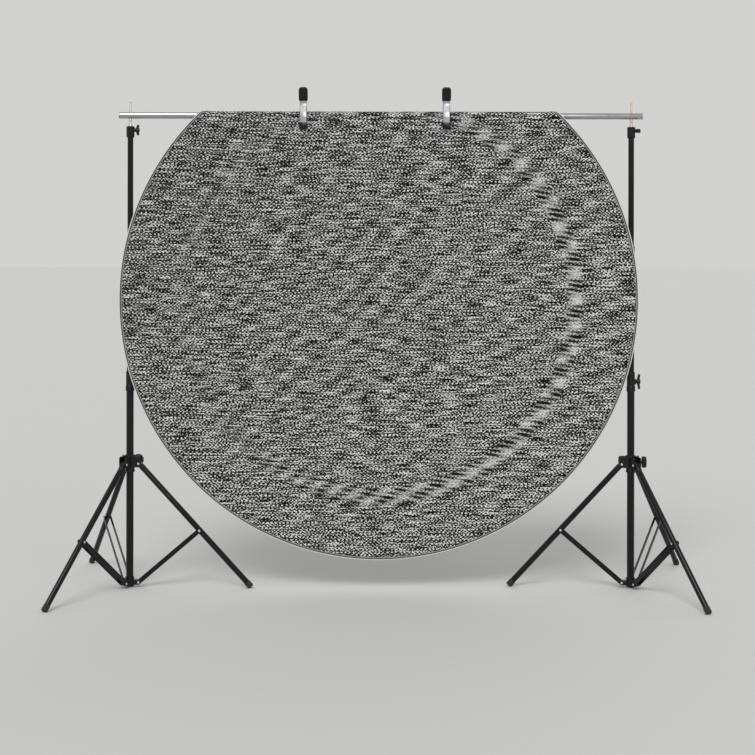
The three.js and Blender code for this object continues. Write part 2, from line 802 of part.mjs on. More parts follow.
const socketRadius = upperTubeRadius + fitGap + socketWall;
const shoulderHeight = barHeight - barRadius - fitGap;

function spigotSocket(knobAzimuth, knobHeight) {
  const [tubeBore, spigotBore] = [upperTubeRadius + fitGap, spigotRadius + fitGap];
  const step = upperTubeTop + fitGap;
  const body = turned([
    [tubeBore, socketFoot], [socketRadius - socketWall / 2, socketFoot],
    [socketRadius, socketFoot + socketWall], [socketRadius, socketTop], [spigotBore, socketTop],
    [spigotBore, step], [tubeBore, step],
  ], tubeSides);
  const boss = cut(screwBoss(0, socketRadius + bossReach, knobAzimuth, knobHeight),
    rod(spigotBore + socketWall / 2, socketFoot, socketTop, tubeSides));
  return cut(joined(body, boss), screwHole(socketRadius + bossReach, knobAzimuth, knobHeight));
}

function spigot() {
  const foot = upperTubeTop + fitGap * 2;
  const flange = socketTop + fitGap;
  return turned([
    [0, foot], [spigotRadius, foot], [spigotRadius, flange], [spigotFlangeRadius, flange],
    [spigotFlangeRadius, flange + spigotFlangeHeight], [spigotRadius, flange + spigotFlangeHeight],
    [spigotRadius, shoulderHeight], [studRadius, shoulderHeight], [studRadius, studTop - studTip],
    [studRadius - studTip / 2, studTop], [0, studTop],
  ], tubeSides);
}

const lowerKnobHeight = lowerTubeTop + lowerLockNeck * lowerKnobShare;
const middleKnobHeight = middleTubeTop + middleLockNeck / 2;
const upperKnobHeight = (upperTubeTop + socketTop) / 2;

// knobs gives each knob's direction from the stand's first leg, and how far the spigot's knob is screwed round.
function stand(side, knobs) {
  const group = new THREE.Group();
  const part = (name, geometry, look) => {
    const piece = mesh(`${side}_${name}`, geometry, look);
    group.add(piece);
    return piece;
  };
  const lowerSkirt = lowerTubeRadius + fitGap + lockWall + bossReach;
  const middleSkirt = middleTubeRadius + fitGap + lockWall + bossReach;
  const tubeOf = (radius, low, high) => tube(radius, radius - tubeWall, low, high, tubeSides);
  part('lower_tube', tubeOf(lowerTubeRadius, lowerTubeFoot, lowerTubeTop), black);
  part('middle_tube', tubeOf(middleTubeRadius, middleTubeTop - middleTubeLength, middleTubeTop), black);
  part('upper_tube', tubeOf(upperTubeRadius, upperTubeTop - upperTubeLength, upperTubeTop), black);
  part('leg_collar', legCollar(knobs.leg), blackPlastic);
  part('foot_hub', footHub(), blackPlastic);
  const lowerCollar = lockCollar(
    lowerTubeRadius, middleTubeRadius, lowerTubeTop, lowerLockNeck, knobs.lower, lowerKnobHeight);
  const middleCollar = lockCollar(
    middleTubeRadius, upperTubeRadius, middleTubeTop, middleLockNeck, knobs.middle, middleKnobHeight);
  part('lower_lock_collar', lowerCollar, blackPlastic);
  part('middle_lock_collar', middleCollar, blackPlastic);
  part('spigot_socket', spigotSocket(knobs.upper, upperKnobHeight), blackPlastic);
  part('spigot', spigot(), brass);
  const knobAt = (name, geometry, azimuth, height, screwed = 0) => {
    const piece = part(name, geometry, blackPlastic);
    piece.rotation.set(screwed, 0, azimuth, 'ZYX');
    piece.position.z = height;
  };
  const lowerWing = wingKnob(middleTubeRadius, lowerSkirt, lowerKnobSpan);
  const middleWing = wingKnob(upperTubeRadius, middleSkirt, middleKnobSpan);
  const upperWing = wingKnob(spigotRadius, socketRadius + bossReach, upperKnobSpan);
  knobAt('leg_collar_knob', ribbedKnob(lowerTubeRadius, legBossReach), knobs.leg, legKnobHeight);
  knobAt('lower_lock_knob', lowerWing, knobs.lower, lowerKnobHeight);
  knobAt('middle_lock_knob', middleWing, knobs.middle, middleKnobHeight);
  knobAt('spigot_knob', upperWing, knobs.upper, upperKnobHeight, knobs.upperScrewed);
  for (let i = 0; i < legCount; i += 1) {
    const azimuth = new THREE.Group();
    azimuth.rotation.z = i * fullTurn / legCount;
    const legPieces = [
      mesh(`${side}_leg_${i + 1}`, leg(), black),
      mesh(`${side}_foot_${i + 1}`, boot(), rubber),
    ];
    for (const piece of legPieces) {
      piece.position.set(legPivotRadius, 0, legPivotHeight);
      piece.rotation.y = -legAngle;
    }
    const bracePiece = mesh(`${side}_brace_${i + 1}`, brace(), black);
    bracePiece.position.set(legPivotRadius, 0, hubPivotHeight);
    bracePiece.rotation.y = braceAngle;
    azimuth.add(...legPieces, bracePiece);
    group.add(azimuth);
  }
  return group;
}

const leftKnobs = { leg: halfTurn / 3, lower: quarterTurn, middle: quarterTurn, upper: 0, upperScrewed: 0 };
const rightKnobs = {
  leg: halfTurn, lower: halfTurn, middle: -quarterTurn, upper: halfTurn, upperScrewed: quarterTurn,
};

const leftStand = stand('left', leftKnobs);
leftStand.position.x = -standSpacing / 2;
leftStand.rotation.z = standTurn;

const rightStand = stand('right', rightKnobs);
rightStand.position.x = standSpacing / 2;
rightStand.rotation.z = halfTurn + standTurn;

model.add(leftStand, rightStand);
console.log(`leg collar closes by ${collarRise.toFixed(1)} mm as the legs turn ${legAngle.toFixed(4)} rad`);

export default model;
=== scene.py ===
"""Dresses the packed backdrop panel set: its cloth, bar, clamps and folding stands, on a pale studio floor."""
import math

import bmesh
import bpy
import numpy as np
from bpy.props import FloatProperty, FloatVectorProperty, IntProperty, PointerProperty
from mathutils import Matrix, Vector


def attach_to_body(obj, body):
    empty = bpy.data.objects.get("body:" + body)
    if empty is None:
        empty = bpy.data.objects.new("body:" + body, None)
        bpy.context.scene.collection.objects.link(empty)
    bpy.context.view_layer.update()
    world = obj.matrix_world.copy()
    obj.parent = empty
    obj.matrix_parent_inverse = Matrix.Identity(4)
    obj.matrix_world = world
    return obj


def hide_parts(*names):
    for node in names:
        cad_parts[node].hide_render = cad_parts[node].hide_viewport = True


bl_info = {
    "name": "Backdrop Panel Set",
    "version": (1, 0, 0),
    "blender": (4, 5, 0),
    "location": "3D View > Sidebar > Backdrop",
    "description": "Builds a folding cloth backdrop panel on its crossbar, clamps and stands",
    "category": "Add Mesh",
}

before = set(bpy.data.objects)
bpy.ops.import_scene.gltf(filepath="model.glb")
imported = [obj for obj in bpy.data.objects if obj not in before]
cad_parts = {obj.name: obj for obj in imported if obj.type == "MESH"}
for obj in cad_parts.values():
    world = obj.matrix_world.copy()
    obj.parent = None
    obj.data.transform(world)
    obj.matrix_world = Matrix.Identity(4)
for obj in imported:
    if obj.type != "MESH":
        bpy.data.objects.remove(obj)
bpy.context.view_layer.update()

SIDES = ("left", "right")
STEPS_TO_CIRCLE = 40
LEG_NUMBERS = (1, 2, 3)
FULL_TURN = 2 * math.pi
CLEARANCE = 0.0003  # gap between pieces that slide, turn or nest
DOME_SEAT = 0.0006  # straight rim below a rivet's dome, and how deep its head is let in


# ---------------------------------------------------------------- shapes

def grid_faces(rows, columns, wrap_rows=False, wrap_columns=False):
    """Quads over a grid of points. Each joins point (i, j) to the next column, the next row and both."""
    i, j = np.meshgrid(np.arange(rows - (not wrap_rows)), np.arange(columns - (not wrap_columns)), indexing="ij")
    next_i, next_j = (i + 1) % rows, (j + 1) % columns
    corners = [i * columns + j, i * columns + next_j, next_i * columns + next_j, next_i * columns + j]
    return np.stack(corners, axis=-1).reshape(-1, 4).tolist()


def grid_shell(points, wrap_rows=False, wrap_columns=False, caps=False):
    """A shell over an array of points [row, column, xyz]. Caps close the first and last rows."""
    rows, columns = points.shape[:2]
    faces = grid_faces(rows, columns, wrap_rows, wrap_columns)
    if caps:
        faces.append(list(range(columns - 1, -1, -1)))
        faces.append(list(range((rows - 1) * columns, rows * columns)))
    return points.reshape(-1, 3), faces


def joined(*shells):
    """Several shells as one, with each one's face numbers moved on past the points before it."""
    points, faces, start = [], [], 0
    for shell_points, shell_faces in shells:
        points.append(shell_points)
        faces += [[corner + start for corner in face] for face in shell_faces]
        start += len(shell_points)
    return np.concatenate(points), faces


def moved(shell, matrix):
    """A shell after a 4 by 4 matrix: p becomes R p + t."""
    affine = np.array(matrix)
    return shell[0] @ affine[:3, :3].T + affine[:3, 3], shell[1]


def shifted(shell, x=0.0, y=0.0, z=0.0):
    return moved(shell, Matrix.Translation((x, y, z)))


def rounded(corners, steps=4):
    """A profile with soft corners. Each corner (a, b, radius) becomes the curve (1-t)^2 P + 2t(1-t) Q + t^2 R,
    where Q is the corner and P and R lie one radius from it towards its neighbours."""
    places = np.array([corner[:2] for corner in corners], float)
    share = np.linspace(0, 1, steps + 1)[:, None]
    points = [places[:1]]
    for before, corner, after, given in zip(places[:-2], places[1:-1], places[2:], corners[1:-1]):
        back, on = before - corner, after - corner
        radius = min(given[2], np.linalg.norm(back) * 0.49, np.linalg.norm(on) * 0.49)
        start = corner + back / np.linalg.norm(back) * radius
        end = corner + on / np.linalg.norm(on) * radius
        points.append((1 - share) ** 2 * start + 2 * share * (1 - share) * corner + share ** 2 * end)
    return np.concatenate(points + [places[-1:]])


def revolved(profile, sides=STEPS_TO_CIRCLE, ring=False):
    """A profile of points (r, z) turned about Z: x = r cos a, y = r sin a."""
    profile = np.asarray(profile, float)
    angle = np.linspace(0, 2 * np.pi, sides, endpoint=False)
    r, z = profile[:, :1], profile[:, 1:2]
    points = np.stack([r * np.cos(angle), r * np.sin(angle), z + 0 * angle], axis=-1)
    return grid_shell(points, wrap_rows=ring, wrap_columns=True)


def rod(radius, low, high, edge=0.0006, sides=STEPS_TO_CIRCLE):
    """A solid round bar along Z with its two edges eased."""
    return revolved(rounded([(0, low, 0), (radius, low, edge), (radius, high, edge), (0, high, 0)]), sides)


def pipe(outer, inner, low, high, edge=0.0004, sides=STEPS_TO_CIRCLE):
    """A tube along Z: down the bore, round the lower lip, up the outside and over the upper lip."""
    middle = (low + high) / 2
    profile = rounded([(inner, middle, 0), (inner, low, edge), (outer, low, edge), (outer, high, edge),
                       (inner, high, edge), (inner, middle, 0)])
    return revolved(profile, sides)


def slab(outline, thickness, edge=0.0006):
    """An outline (x, z) given thickness along Y. Four rings carry it across: pulled in by the edge at each face,
    full size between them. Each point is pulled in along the normal to its neighbours' chord."""
    outline = np.asarray(outline, float)
    chord = np.roll(outline, -1, axis=0) - np.roll(outline, 1, axis=0)
    normal = np.stack([chord[:, 1], -chord[:, 0]], axis=1)
    normal /= np.maximum(np.linalg.norm(normal, axis=1, keepdims=True), 1e-9)
    area = np.sum(outline[:, 0] * np.roll(outline[:, 1], -1) - np.roll(outline[:, 0], -1) * outline[:, 1])
    inner = outline - normal * edge * np.sign(area)
    half = thickness / 2
    rings = [(inner, -half), (outline, edge - half), (outline, half - edge), (inner, half)]
    points = np.stack([np.stack([ring[:, 0], 0 * ring[:, 0] + y, ring[:, 1]], axis=-1) for ring, y in rings])
    return grid_shell(points, wrap_columns=True, caps=True)


def rounded_box_outline(left, right, foot, top, corner, steps=6):
    """A box outline whose corners are quarter circles."""
    angle = np.linspace(0, np.pi / 2, steps + 1)
    quarter = np.stack([np.cos(angle), np.sin(angle)], axis=1) * corner
    turns = [quarter, quarter[:, ::-1] * (-1, 1), -quarter, quarter[:, ::-1] * (1, -1)]
    centres = [(right - corner, top - corner), (left + corner, top - corner),
               (left + corner, foot + corner), (right - corner, foot + corner)]
    return np.concatenate([turn + centre for turn, centre in zip(turns, centres)])


def swept(section, path, ahead=None, closed_path=False):
    """A flat section (a, b) carried along a path. At each point T is the path's direction, A is the given
    sideways direction made square to T, B = T x A, and the section's point stands at P + a A + b B."""
    path = np.asarray(path, float)
    along = np.roll(path, -1, axis=0) - np.roll(path, 1, axis=0) if closed_path else np.gradient(path, axis=0)
    along /= np.linalg.norm(along, axis=1, keepdims=True)
    side = np.broadcast_to(np.array(ahead, float), path.shape)
    side = side - np.sum(side * along, axis=1, keepdims=True) * along
    side /= np.linalg.norm(side, axis=1, keepdims=True)
    up = np.cross(along, side)
    section = np.asarray(section, float)
    points = path[:, None] + section[None, :, :1] * side[:, None] + section[None, :, 1:] * up[:, None]
    return grid_shell(points, wrap_rows=closed_path, wrap_columns=True, caps=not closed_path)


def circle(radius, sides):
    angle = np.linspace(0, 2 * np.pi, sides, endpoint=False)
    return np.stack([radius * np.cos(angle), radius * np.sin(angle)], axis=1)


ALONG_X = Matrix.Rotation(math.pi / 2, 4, "Y")
ALONG_Y = Matrix.Rotation(-math.pi / 2, 4, "X")


# ---------------------------------------------------------------- pieces

def as_object(name, shell, smooth_degrees=35.0, flat=None):
    """A shell as a mesh object: doubles are merged, so poles close, and the faces are turned outwards. flat gives
    each point's place on the flat cut, in metres, kept as a UV map named cut."""
    mesh = bpy.data.meshes.new(name)
    mesh.from_pydata(shell[0].tolist(), [], shell[1])
    if flat is not None:
        corners = np.empty(len(mesh.loops), np.int32)
        mesh.loops.foreach_get("vertex_index", corners)
        mesh.uv_layers.new(name="cut").data.foreach_set("uv", flat[corners].astype(np.float32).ravel())
    work = bmesh.new()
    work.from_mesh(mesh)
    bmesh.ops.remove_doubles(work, verts=work.verts, dist=1e-6)
    bmesh.ops.dissolve_degenerate(work, edges=work.edges, dist=1e-7)
    bmesh.ops.recalc_face_normals(work, faces=work.faces)
    work.to_mesh(mesh)
    work.free()
    smoothed(mesh, smooth_degrees)
    piece = bpy.data.objects.new(name, mesh)
    bpy.context.scene.collection.objects.link(piece)
    return piece


def smoothed(mesh, degrees):
    mesh.shade_smooth()
    mesh.set_sharp_from_angle(angle=math.radians(degrees))


def settled(piece):
    """The piece with its modifiers worked into its mesh."""
    bpy.context.view_layer.update()
    finished = bpy.data.meshes.new_from_object(piece.evaluated_get(bpy.context.evaluated_depsgraph_get()))
    piece.modifiers.clear()
    piece.data = finished
    return piece


def moulded(name, shells, matrix, voxel=0.0011, softening=4):
    """Overlapping closed shells run together as one moulding: remeshed on a fine lattice, then softened, which
    leaves a small fillet wherever two of them meet."""
    piece = as_object(name, joined(*shells))
    remesh = piece.modifiers.new("Lattice", "REMESH")
    remesh.mode = "VOXEL"
    remesh.voxel_size = voxel
    soften = piece.modifiers.new("Soften", "SMOOTH")
    soften.factor = 0.5
    soften.iterations = softening
    settled(piece)
    piece.data.transform(matrix)
    smoothed(piece.data, 60.0)
    return piece


def fitted(piece, body, slot, material, *nodes):
    """Gives a piece its finish and its body, and hides the packed nodes that it stands for."""
    piece.data.materials.clear()
    piece.data.materials.append(finish(material))
    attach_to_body(piece, body)
    if nodes:
        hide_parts(*nodes)
    return piece


# ---------------------------------------------------------------- finishes

class Value:
    """A shader socket that takes part in Python arithmetic: each operation adds its Math node."""

    def __init__(self, graph, socket):
        self.graph, self.socket = graph, socket

    def math(self, operation, *others):
        node = self.graph.node("ShaderNodeMath", {"operation": operation}, dict(enumerate((self, *others))))
        return Value(self.graph, node.outputs[0])

    def flipped(self, operation, other):
        node = self.graph.node("ShaderNodeMath", {"operation": operation}, {0: other, 1: self})
        return Value(self.graph, node.outputs[0])

    def __add__(self, other): return self.math("ADD", other)
    def __sub__(self, other): return self.math("SUBTRACT", other)
    def __mul__(self, other): return self.math("MULTIPLY", other)
    def __truediv__(self, other): return self.math("DIVIDE", other)
    def __pow__(self, other): return self.math("POWER", other)
    __radd__ = __add__
    __rmul__ = __mul__
    def __rsub__(self, other): return self.flipped("SUBTRACT", other)
    def __rtruediv__(self, other): return self.flipped("DIVIDE", other)

    def sine(self): return self.math("SINE")
    def size(self): return self.math("ABSOLUTE")

    def eased(self, low, high):
        """0 at low, 1 at high, smooth between."""
        node = self.graph.node("ShaderNodeMapRange", {"interpolation_type": "SMOOTHSTEP"},
                               {"Value": self, "From Min": low, "From Max": high})
        return Value(self.graph, node.outputs["Result"])

    def spread(self, low, high):
        """The value's run from 0 to 1 stretched to run from low to high."""
        return self * (high - low) + low


class Graph:
    """A node tree, with one method that adds any node."""

    def __init__(self, tree):
        self.tree = tree

    def node(self, kind, settings=None, values=None):
        node = self.tree.nodes.new(kind)
        for key, value in (settings or {}).items():
            setattr(node, key, value)
        for key, value in (values or {}).items():
            self.feed(node.inputs[key], value)
        return node

    def feed(self, socket, value):
        if isinstance(value, Value):
            value = value.socket
        if isinstance(value, bpy.types.NodeSocket):
            self.tree.links.new(value, socket)
        elif socket.type == "RGBA" and len(value) == 3:
            socket.default_value = (*value, 1.0)
        else:
            socket.default_value = value


class Finish(Graph):
    """A material's node graph and the patterns that it is worked out from."""

    def __init__(self, name):
        self.material = bpy.data.materials.new(name)
        self.material.use_nodes = True
        super().__init__(self.material.node_tree)
        self.shader = self.tree.nodes["Principled BSDF"]

    def set(self, **values):
        """Feeds the shader's sockets: base_color goes to Base Color, and so on."""
        for key, value in values.items():
            self.feed(self.shader.inputs[key.replace("_", " ").title().replace("Ior", "IOR")], value)

    def place(self, scale=(1, 1, 1), turn=0.0, uv=False):
        """The object's own coordinates, or its UV map's, stretched by scale and turned about Z."""
        source = self.node("ShaderNodeUVMap", {"uv_map": "cut"}) if uv else self.node("ShaderNodeTexCoord")
        mapping = self.node("ShaderNodeMapping", None, {
            "Vector": source.outputs["UV" if uv else "Object"], "Scale": scale, "Rotation": (0, 0, turn)})
        return mapping.outputs["Vector"]

    def axes(self, place):
        split = self.node("ShaderNodeSeparateXYZ", None, {"Vector": place})
        return [Value(self, split.outputs[axis]) for axis in "XYZ"]

    def noise(self, place, scale=1.0, detail=3.0, roughness=0.5, distortion=0.0):
        node = self.node("ShaderNodeTexNoise", None, {
            "Vector": place, "Scale": scale, "Detail": detail, "Roughness": roughness, "Distortion": distortion})
        return Value(self, node.outputs["Fac"])

    def cells(self, place, scale=1.0, randomness=1.0):
        """Distance from the nearest of a field of scattered points."""
        node = self.node("ShaderNodeTexVoronoi", None, {
            "Vector": place, "Scale": scale, "Randomness": randomness})
        return Value(self, node.outputs["Distance"])

    def blend(self, factor, low, high):
        """A colour between two, or a pattern of them."""
        node = self.node("ShaderNodeMix", {"data_type": "RGBA", "clamp_factor": True})
        for socket, value in zip([node.inputs[0], node.inputs[6], node.inputs[7]], [factor, low, high]):
            self.feed(socket, value)
        return node.outputs[2]

    def relief(self, height, distance, strength=1.0):
        node = self.node("ShaderNodeBump", None, {"Height": height, "Distance": distance, "Strength": strength})
        self.set(normal=node.outputs["Normal"])


def shade(colour, factor):
    return tuple(channel * factor for channel in colour[:3])


# Painted shade: two families of broad diagonal bands that stand for the light and shade on the sheet's slow waves.
RISING_SHADE_BANDS = (10.7, -10.7, -3.2, 1.0, 2.4)  # bands per metre across and along, and how that pitch drifts
FALLING_SHADE_BANDS = (4.7, 10.9, 3.0, -1.0, -2.0)


def shade_bands_before(across, along, terms):
    """How many bands lie before a place: a x + b y + c x^2 + d x y + e y^2."""
    a, b, c, d, e = terms
    return across * a + along * b + across * across * c + across * along * d + along * along * e


def heathered_cloth():
    """Coarse two-tone weave, worked out on the flat cut, so that it follows the cloth over the bar. Its knots stand
    in upright columns, sin(across), and swap sides twice: every other course, sin(along), and slowly up each
    ladder. Long level strands streak across them, and fine threads, again sin(across) sin(along), break up their
    edges. Two families of broad bands of painted shade, stronger to the right and lower down, cross the panel as
    the light and shade of its slow waves. A smoother, paler ring with slanted dashes, darkest where the painted
    shade bands are dark, marks where the coiled hoop lay."""
    tones = bpy.context.scene.backdrop_cloth
    g = Finish("heathered_cloth")
    across, along, _ = g.axes(g.place(uv=True))
    drift = g.noise(g.place((9.0, 11.0, 1.0), uv=True), detail=1.0).spread(-1.0, 1.0) * tones.course_height
    slip = g.noise(g.place((5.0, 13.0, 1.0), turn=0.8, uv=True), detail=1.0)
    slip = slip.spread(-1.0, 1.0) * tones.knot_width
    columns = ((across + slip) * (FULL_TURN / tones.knot_width)).sine()
    courses = ((along + drift) * (FULL_TURN / tones.course_height)).sine()
    ladders = ((along + slip) * (FULL_TURN / tones.ladder_height)).sine()
    knots = g.noise(g.place((165.0, 215.0, 1.0), uv=True), detail=0.5) - 0.5
    strands = (g.noise(g.place((11.0, 125.0, 1.0), turn=0.01, uv=True), detail=0.5) * 1.1
               + g.noise(g.place((13.0, 250.0, 1.0), turn=-0.01, uv=True), detail=0.5) * 2.5 - 1.8)
    threads = (((across + slip * 0.1) * (FULL_TURN / tones.thread_pitch)).sine()
               * ((along + drift * 0.1) * (FULL_TURN * 1.25 / tones.thread_pitch)).sine())
    clouds = g.noise(g.place((4.0, 9.0, 1.0), turn=0.5, uv=True), detail=2.0).eased(0.36, 0.64)
    # Painted shade: broad diagonal bands, stronger to the right and lower down, standing for the light and shade on
    # the slow waves.
    bands = ((shade_bands_before(across, along, RISING_SHADE_BANDS) * FULL_TURN).sine() * 0.088
             + (shade_bands_before(across, along, FALLING_SHADE_BANDS) * FULL_TURN).sine() * 0.05)
    bands = bands * (1 + across * 0.45 - along * 0.15)
    reach = (across * across + along * along) ** 0.5
    ring = (1 - ((reach - tones.ring_radius) / tones.ring_width).size()).eased(0.0, 0.45)
    ring = ring * (across - along * 0.5).eased(-0.8, 0.7).spread(0.4, 1.0)
    dashes = ((along + across * 0.18 + drift * 0.3) * (FULL_TURN / tones.dash_pitch)).sine()
    weave = columns * (courses * 0.64 + ladders * 0.36) * clouds.spread(1.1, 0.9)
    contrast = (1 + (across - along) * 0.15) * (1 - ring * 0.7)
    grain = (weave + knots * 3.2 + strands) * contrast + bands * (1 + ring)
    # The ring's dashes are darkest where the painted shade bands are dark.
    grain = grain + ring * (dashes * (0.2 - bands * 1.6) + 0.2)
    tone = (grain + threads * 0.22 + 0.148).eased(0.0, 1.0)
    g.set(base_color=g.blend(tone, tones.dark_yarn, tones.light_yarn), roughness=0.95, specular_ior_level=0.1)
    g.relief(tone + threads * 0.5, 0.0010, 0.6)
    return g.material


def binding_tape():
    """Woven tape: fine cross ribs, two rows of stitching and a painted highlight along its outer fold."""
    tones = bpy.context.scene.backdrop_cloth
    g = Finish("binding_tape")
    round_rim, section, _ = g.axes(g.place(uv=True))
    ribs = (round_rim * (FULL_TURN / 0.0016)).sine().spread(0.5, 0.6)
    stitch = (round_rim * (FULL_TURN / 0.0065)).sine().eased(-0.2, 0.3)
    row = (1 - ((section - 0.86).size() / 0.14)).eased(0.0, 0.5) * stitch.spread(0.55, 1.0)
    # Painted highlight: the tape's outer fold takes the pale colour, as if its rim caught the light.
    fold = (1 - (section / 0.42)).eased(0.0, 0.35)
    fuzz = g.noise(g.place(), 900.0)
    tape = g.blend(fold, tones.binding_dark, tones.binding_highlight_and_thread)
    tape = g.blend(row, tape, shade(tones.binding_highlight_and_thread, 0.75))
    tape = g.blend(fuzz * 0.35, tape, shade(tones.binding_dark, 0.5))
    g.set(base_color=tape, roughness=0.85, sheen_weight=0.1)
    g.relief(ribs + row * 0.8 + fuzz * 0.3, 0.0004, 0.5)
    return g.material


def black_coat():
    """Gloss black coat on drawn tube: faint lengthwise waviness, fine orange peel and soft handling marks."""
    g = Finish("black_coat")
    peel = g.noise(g.place(), 420.0, detail=2.0)
    drawn = g.noise(g.place((60.0, 60.0, 2.0)), 1.0, detail=2.0)
    marks = g.noise(g.place((9.0, 9.0, 2.5)), 1.0, detail=4.0, roughness=0.65)
    g.set(base_color=g.blend(marks, (0.0035, 0.0035, 0.0038), (0.008, 0.008, 0.0085)),
          roughness=marks.spread(0.08, 0.18), specular_ior_level=0.25)
    g.relief(peel + drawn * 0.5, 0.0002, 0.06)
    return g.material


def moulded_plastic():
    """Satin black moulding with a fine spark-eroded grain and paler rubbed patches."""
    g = Finish("moulded_plastic")
    grain = g.noise(g.place(), 2200.0, detail=2.0)
    rubbed = g.noise(g.place(), 38.0, detail=4.0, roughness=0.6)
    g.set(base_color=g.blend(rubbed, (0.004, 0.004, 0.0043), (0.010, 0.010, 0.0105)),
          roughness=rubbed.spread(0.2, 0.36), specular_ior_level=0.28)
    g.relief(grain, 0.0002, 0.35)
    return g.material


def dipped_vinyl():
    """Thick glossy black dip: slow ripples where it ran, and a few pin bubbles."""
    g = Finish("dipped_vinyl")
    runs = g.noise(g.place((70.0, 70.0, 22.0)), 1.0, detail=2.0)
    bubbles = 1 - g.cells(g.place(), 260.0).eased(0.0, 0.14)
    g.set(base_color=g.blend(runs, (0.004, 0.004, 0.0045), (0.009, 0.0088, 0.0088)),
          roughness=runs.spread(0.2, 0.36), specular_ior_level=0.25, coat_weight=0.06, coat_roughness=0.12)
    g.relief(runs + bubbles * 0.15, 0.0004, 0.4)
    return g.material


def black_rubber():
    """Dull rubber with a dusty bloom and small scuffs."""
    g = Finish("black_rubber")
    bloom = g.noise(g.place(), 30.0, detail=5.0, roughness=0.65)
    scuffs = g.noise(g.place((400.0, 90.0, 400.0)), 1.0, detail=2.0)
    g.set(base_color=g.blend(bloom, (0.008, 0.008, 0.008), (0.03, 0.03, 0.029)), roughness=bloom.spread(0.7, 0.9))
    g.relief(scuffs, 0.0004, 0.3)
    return g.material


def metal(name, dark, light, rough, smooth, lines, depth):
    """Bare metal: two tones and two roughnesses mixed along fine tool lines and soft clouds. lines is how close
    the tool lines lie along X, Y and Z."""
    g = Finish(name)
    scratches = g.noise(g.place(lines), detail=3.0, roughness=0.6)
    clouds = g.noise(g.place(), 26.0, detail=4.0)
    g.set(base_color=g.blend(scratches * 0.6 + clouds * 0.4, dark, light), metallic=1.0,
          roughness=(scratches * 0.5 + clouds * 0.5).spread(smooth, rough))
    g.relief(scratches, depth, 0.3)
    return g.material


def polished_aluminium():
    return metal("polished_aluminium", (0.30, 0.305, 0.315), (0.52, 0.525, 0.535), 0.26, 0.14,
                 (3.0, 900.0, 900.0), 0.00002)


def bright_zinc():
    return metal("bright_zinc", (0.26, 0.265, 0.275), (0.58, 0.585, 0.595), 0.34, 0.18,
                 (300.0, 300.0, 12.0), 0.00005)


def turned_brass():
    return metal("turned_brass", (0.72, 0.58, 0.40), (0.93, 0.86, 0.74), 0.30, 0.14,
                 (6.0, 6.0, 1500.0), 0.0001)


def rivet_steel():
    return metal("rivet_steel", (0.45, 0.46, 0.48), (0.78, 0.79, 0.80), 0.38, 0.18,
                 (260.0, 260.0, 260.0), 0.0001)


def studio_floor():
    """Pale seamless floor with the faintest unevenness of tone."""
    stage = bpy.context.scene.backdrop_stage
    g = Finish("studio_floor")
    tone = g.noise(g.place(), 1.6, detail=3.0)
    g.set(base_color=g.blend(tone, shade(stage.floor_colour, 0.985), stage.floor_colour), roughness=0.7,
          specular_ior_level=0.2)
    return g.material


FINISHES = {maker.__name__: maker for maker in (
    heathered_cloth, binding_tape, black_coat, moulded_plastic, dipped_vinyl, black_rubber, polished_aluminium,
    bright_zinc, turned_brass, rivet_steel, studio_floor)}


def finish(name):
    """The finish of that name, made when it is first asked for."""
    return bpy.data.materials.get(name) or FINISHES[name]()


# ---------------------------------------------------------------- sizes and colours

def length(label, value, description):
    return FloatProperty(name=label, description=description, default=value, min=0.0, precision=4, unit="LENGTH")


def colour(label, value, description):
    return FloatVectorProperty(name=label, description=description, default=value, size=3, min=0.0, max=1.0,
                               subtype="COLOR")


def turn(label, degrees, description):
    return FloatProperty(name=label, description=description, default=math.radians(degrees), unit="ROTATION")


def count(label, value, description):
    return IntProperty(name=label, description=description, default=value, min=1)


class ClothSizes(bpy.types.PropertyGroup):
    """The round panel, worked out flat and laid over the bar."""
    radius: length("Panel radius", 0.990, "From the centre of the flat disc to the outside of its rim")
    centre_height: length("Centre height", 1.100, "Height of the disc's centre on the front sheet")
    centre_offset: FloatProperty(name="Centre offset", description="Sideways place of the disc's centre",
                                 default=-0.007, unit="LENGTH")
    lean: turn("Front lean", 0.5, "How far the front sheet leans out from straight down")
    fold_radius: length("Fold radius", 0.018, "Radius of the middle of the cloth where it bends over the bar")
    thickness: length("Cloth thickness", 0.0018, "Thickness of the cloth")
    ripple: length("Ripple", 0.0011, "Height of the slow waves in the hanging sheet")
    pucker: length("Pucker", 0.0005, "Height of the small gathers beside the rim")
    course_height: length("Course height", 0.0119, "Height of two staggered courses of the coarse weave")
    knot_width: length("Knot width", 0.0155, "Pitch of the knots along a course")
    ladder_height: length("Ladder height", 0.042, "Height over which the columns of knots swap sides once more")
    ring_radius: length("Ring radius", 0.748, "Radius of the ring that the coiled hoop pressed into the cloth")
    ring_width: length("Ring width", 0.042, "Half the width of that ring")
    thread_pitch: length("Thread pitch", 0.0031, "Pitch of the single threads")
    dash_pitch: length("Dash pitch", 0.0195, "Pitch of the slanted dashes in that ring")
    tape_width: length("Tape width", 0.011, "How far the binding tape reaches in from the rim")
    tape_wall: length("Tape wall", 0.0008, "Thickness of the binding tape")
    dark_yarn: colour("Dark yarn", (0.0075, 0.0076, 0.0070), "Colour of the dark yarn")
    light_yarn: colour("Light yarn", (0.79, 0.807, 0.757), "Colour of the light yarn")
    binding_dark: colour("Binding", (0.032, 0.033, 0.032), "Colour of the binding tape")
    # Pale colour that paints the highlight on the tape's outer fold, and, dimmed, colours the stitching thread.
    binding_highlight_and_thread: colour("Binding fold", (0.80, 0.81, 0.78), "Colour of the tape's outer fold and stitching")


